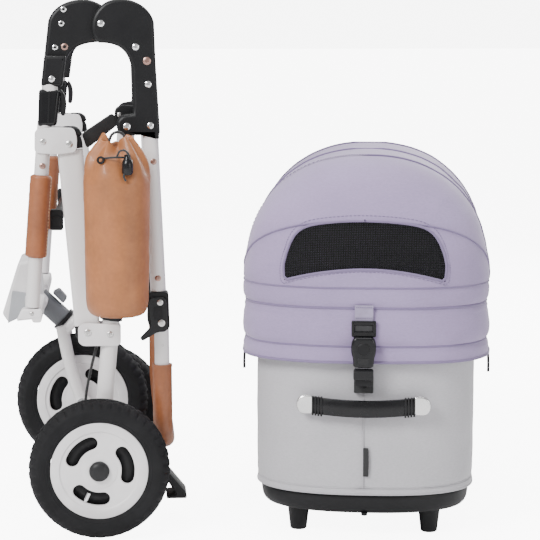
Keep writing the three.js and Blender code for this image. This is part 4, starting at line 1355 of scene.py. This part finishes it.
# ---------- stage ----------
def stage():
    floor_mesh = bpy.data.meshes.new("floor")
    floor_mesh.from_pydata([(-40, -40, 0), (40, -40, 0), (40, 40, 0), (-40, 40, 0)], [], [(0, 1, 2, 3)])
    floor = bpy.data.objects.new("floor", floor_mesh)
    floor.location.z = -0.0005
    bpy.context.collection.objects.link(floor)
    shade = Shader("pale_floor", (0.95, 0.95, 0.95), 0.9)
    shade.vary(shade.noise(2), 0.01)
    glow = shade.node("ShaderNodeEmission")
    looked_at = shade.node("ShaderNodeLightPath").outputs["Is Camera Ray"]
    shade.link(shade.math("MULTIPLY", looked_at, FLOOR_GLOW), glow.inputs["Strength"])
    both = shade.node("ShaderNodeAddShader")
    shade.link(shade.bsdf.outputs["BSDF"], both.inputs[0])
    shade.link(glow.outputs["Emission"], both.inputs[1])
    shade.link(both.outputs["Shader"], shade.tree.nodes["Material Output"].inputs["Surface"])
    floor.data.materials.append(shade.material)
    world = bpy.data.worlds.new("studio")
    world.use_nodes = True
    tree = world.node_tree
    tree.nodes["Background"].inputs["Color"].default_value = (1, 1, 1, 1)
    tree.nodes["Background"].inputs["Strength"].default_value = AMBIENT
    behind = tree.nodes.new("ShaderNodeBackground")
    behind.inputs["Strength"].default_value = BACKDROP
    path = tree.nodes.new("ShaderNodeLightPath")
    mix = tree.nodes.new("ShaderNodeMixShader")
    tree.links.new(path.outputs["Is Camera Ray"], mix.inputs["Fac"])
    tree.links.new(tree.nodes["Background"].outputs["Background"], mix.inputs[1])
    tree.links.new(behind.outputs["Background"], mix.inputs[2])
    tree.links.new(mix.outputs["Shader"], tree.nodes["World Output"].inputs["Surface"])
    bpy.context.scene.world = world


def light(name, place, target, size, power):
    lamp = bpy.data.lights.new(name, "AREA")
    lamp.shape = "RECTANGLE"
    lamp.size, lamp.size_y = size
    lamp.energy = power
    obj = bpy.data.objects.new(name, lamp)
    obj.location = place
    obj.rotation_euler = (Vector(target) - Vector(place)).to_track_quat("-Z", "Y").to_euler()
    bpy.context.collection.objects.link(obj)


def lights():
    light("key", (-1.9, -2.2, 2.3), (0.0, 0, 0.4), (1.1, 1.1), 125)
    light("fill", (2.4, -2.6, 1.0), (0.1, 0, 0.4), (1.4, 1.4), 26)
    light("top", (0.0, 0.2, 3.0), (0.0, 0, 0.3), (2.2, 2.2), 75)
    light("rim", (1.6, 2.4, 1.6), (0.0, 0, 0.4), (1.4, 1.4), 50)


def camera():
    """Near the height of the chassis' top, about 2.9 m in front of its near side frame."""
    lens = bpy.data.cameras.new("camera")
    lens.sensor_width = 36
    lens.lens = LENS
    lens.shift_x, lens.shift_y = SHIFT
    cam = bpy.data.objects.new("camera", lens)
    cam.location = (Vector(CAMERA_PLACE) + ORIGIN) / 1000
    level = math.cos(CAMERA_TILT)
    aim = Vector((math.sin(CAMERA_PAN) * level, math.cos(CAMERA_PAN) * level, -math.sin(CAMERA_TILT)))
    cam.rotation_euler = aim.to_track_quat("-Z", "Y").to_euler()
    bpy.context.collection.objects.link(cam)
    bpy.context.scene.camera = cam


camera()
stage()
lights()
wheels()
axle_pins()
handle_arms()
handle_bow()
front_legs()
fork()
rear_legs()
rails()
hood()
hoops()
carrier_walls()
carrier_base()
mat()
rim_frame()
buckle()
carrier_handle()
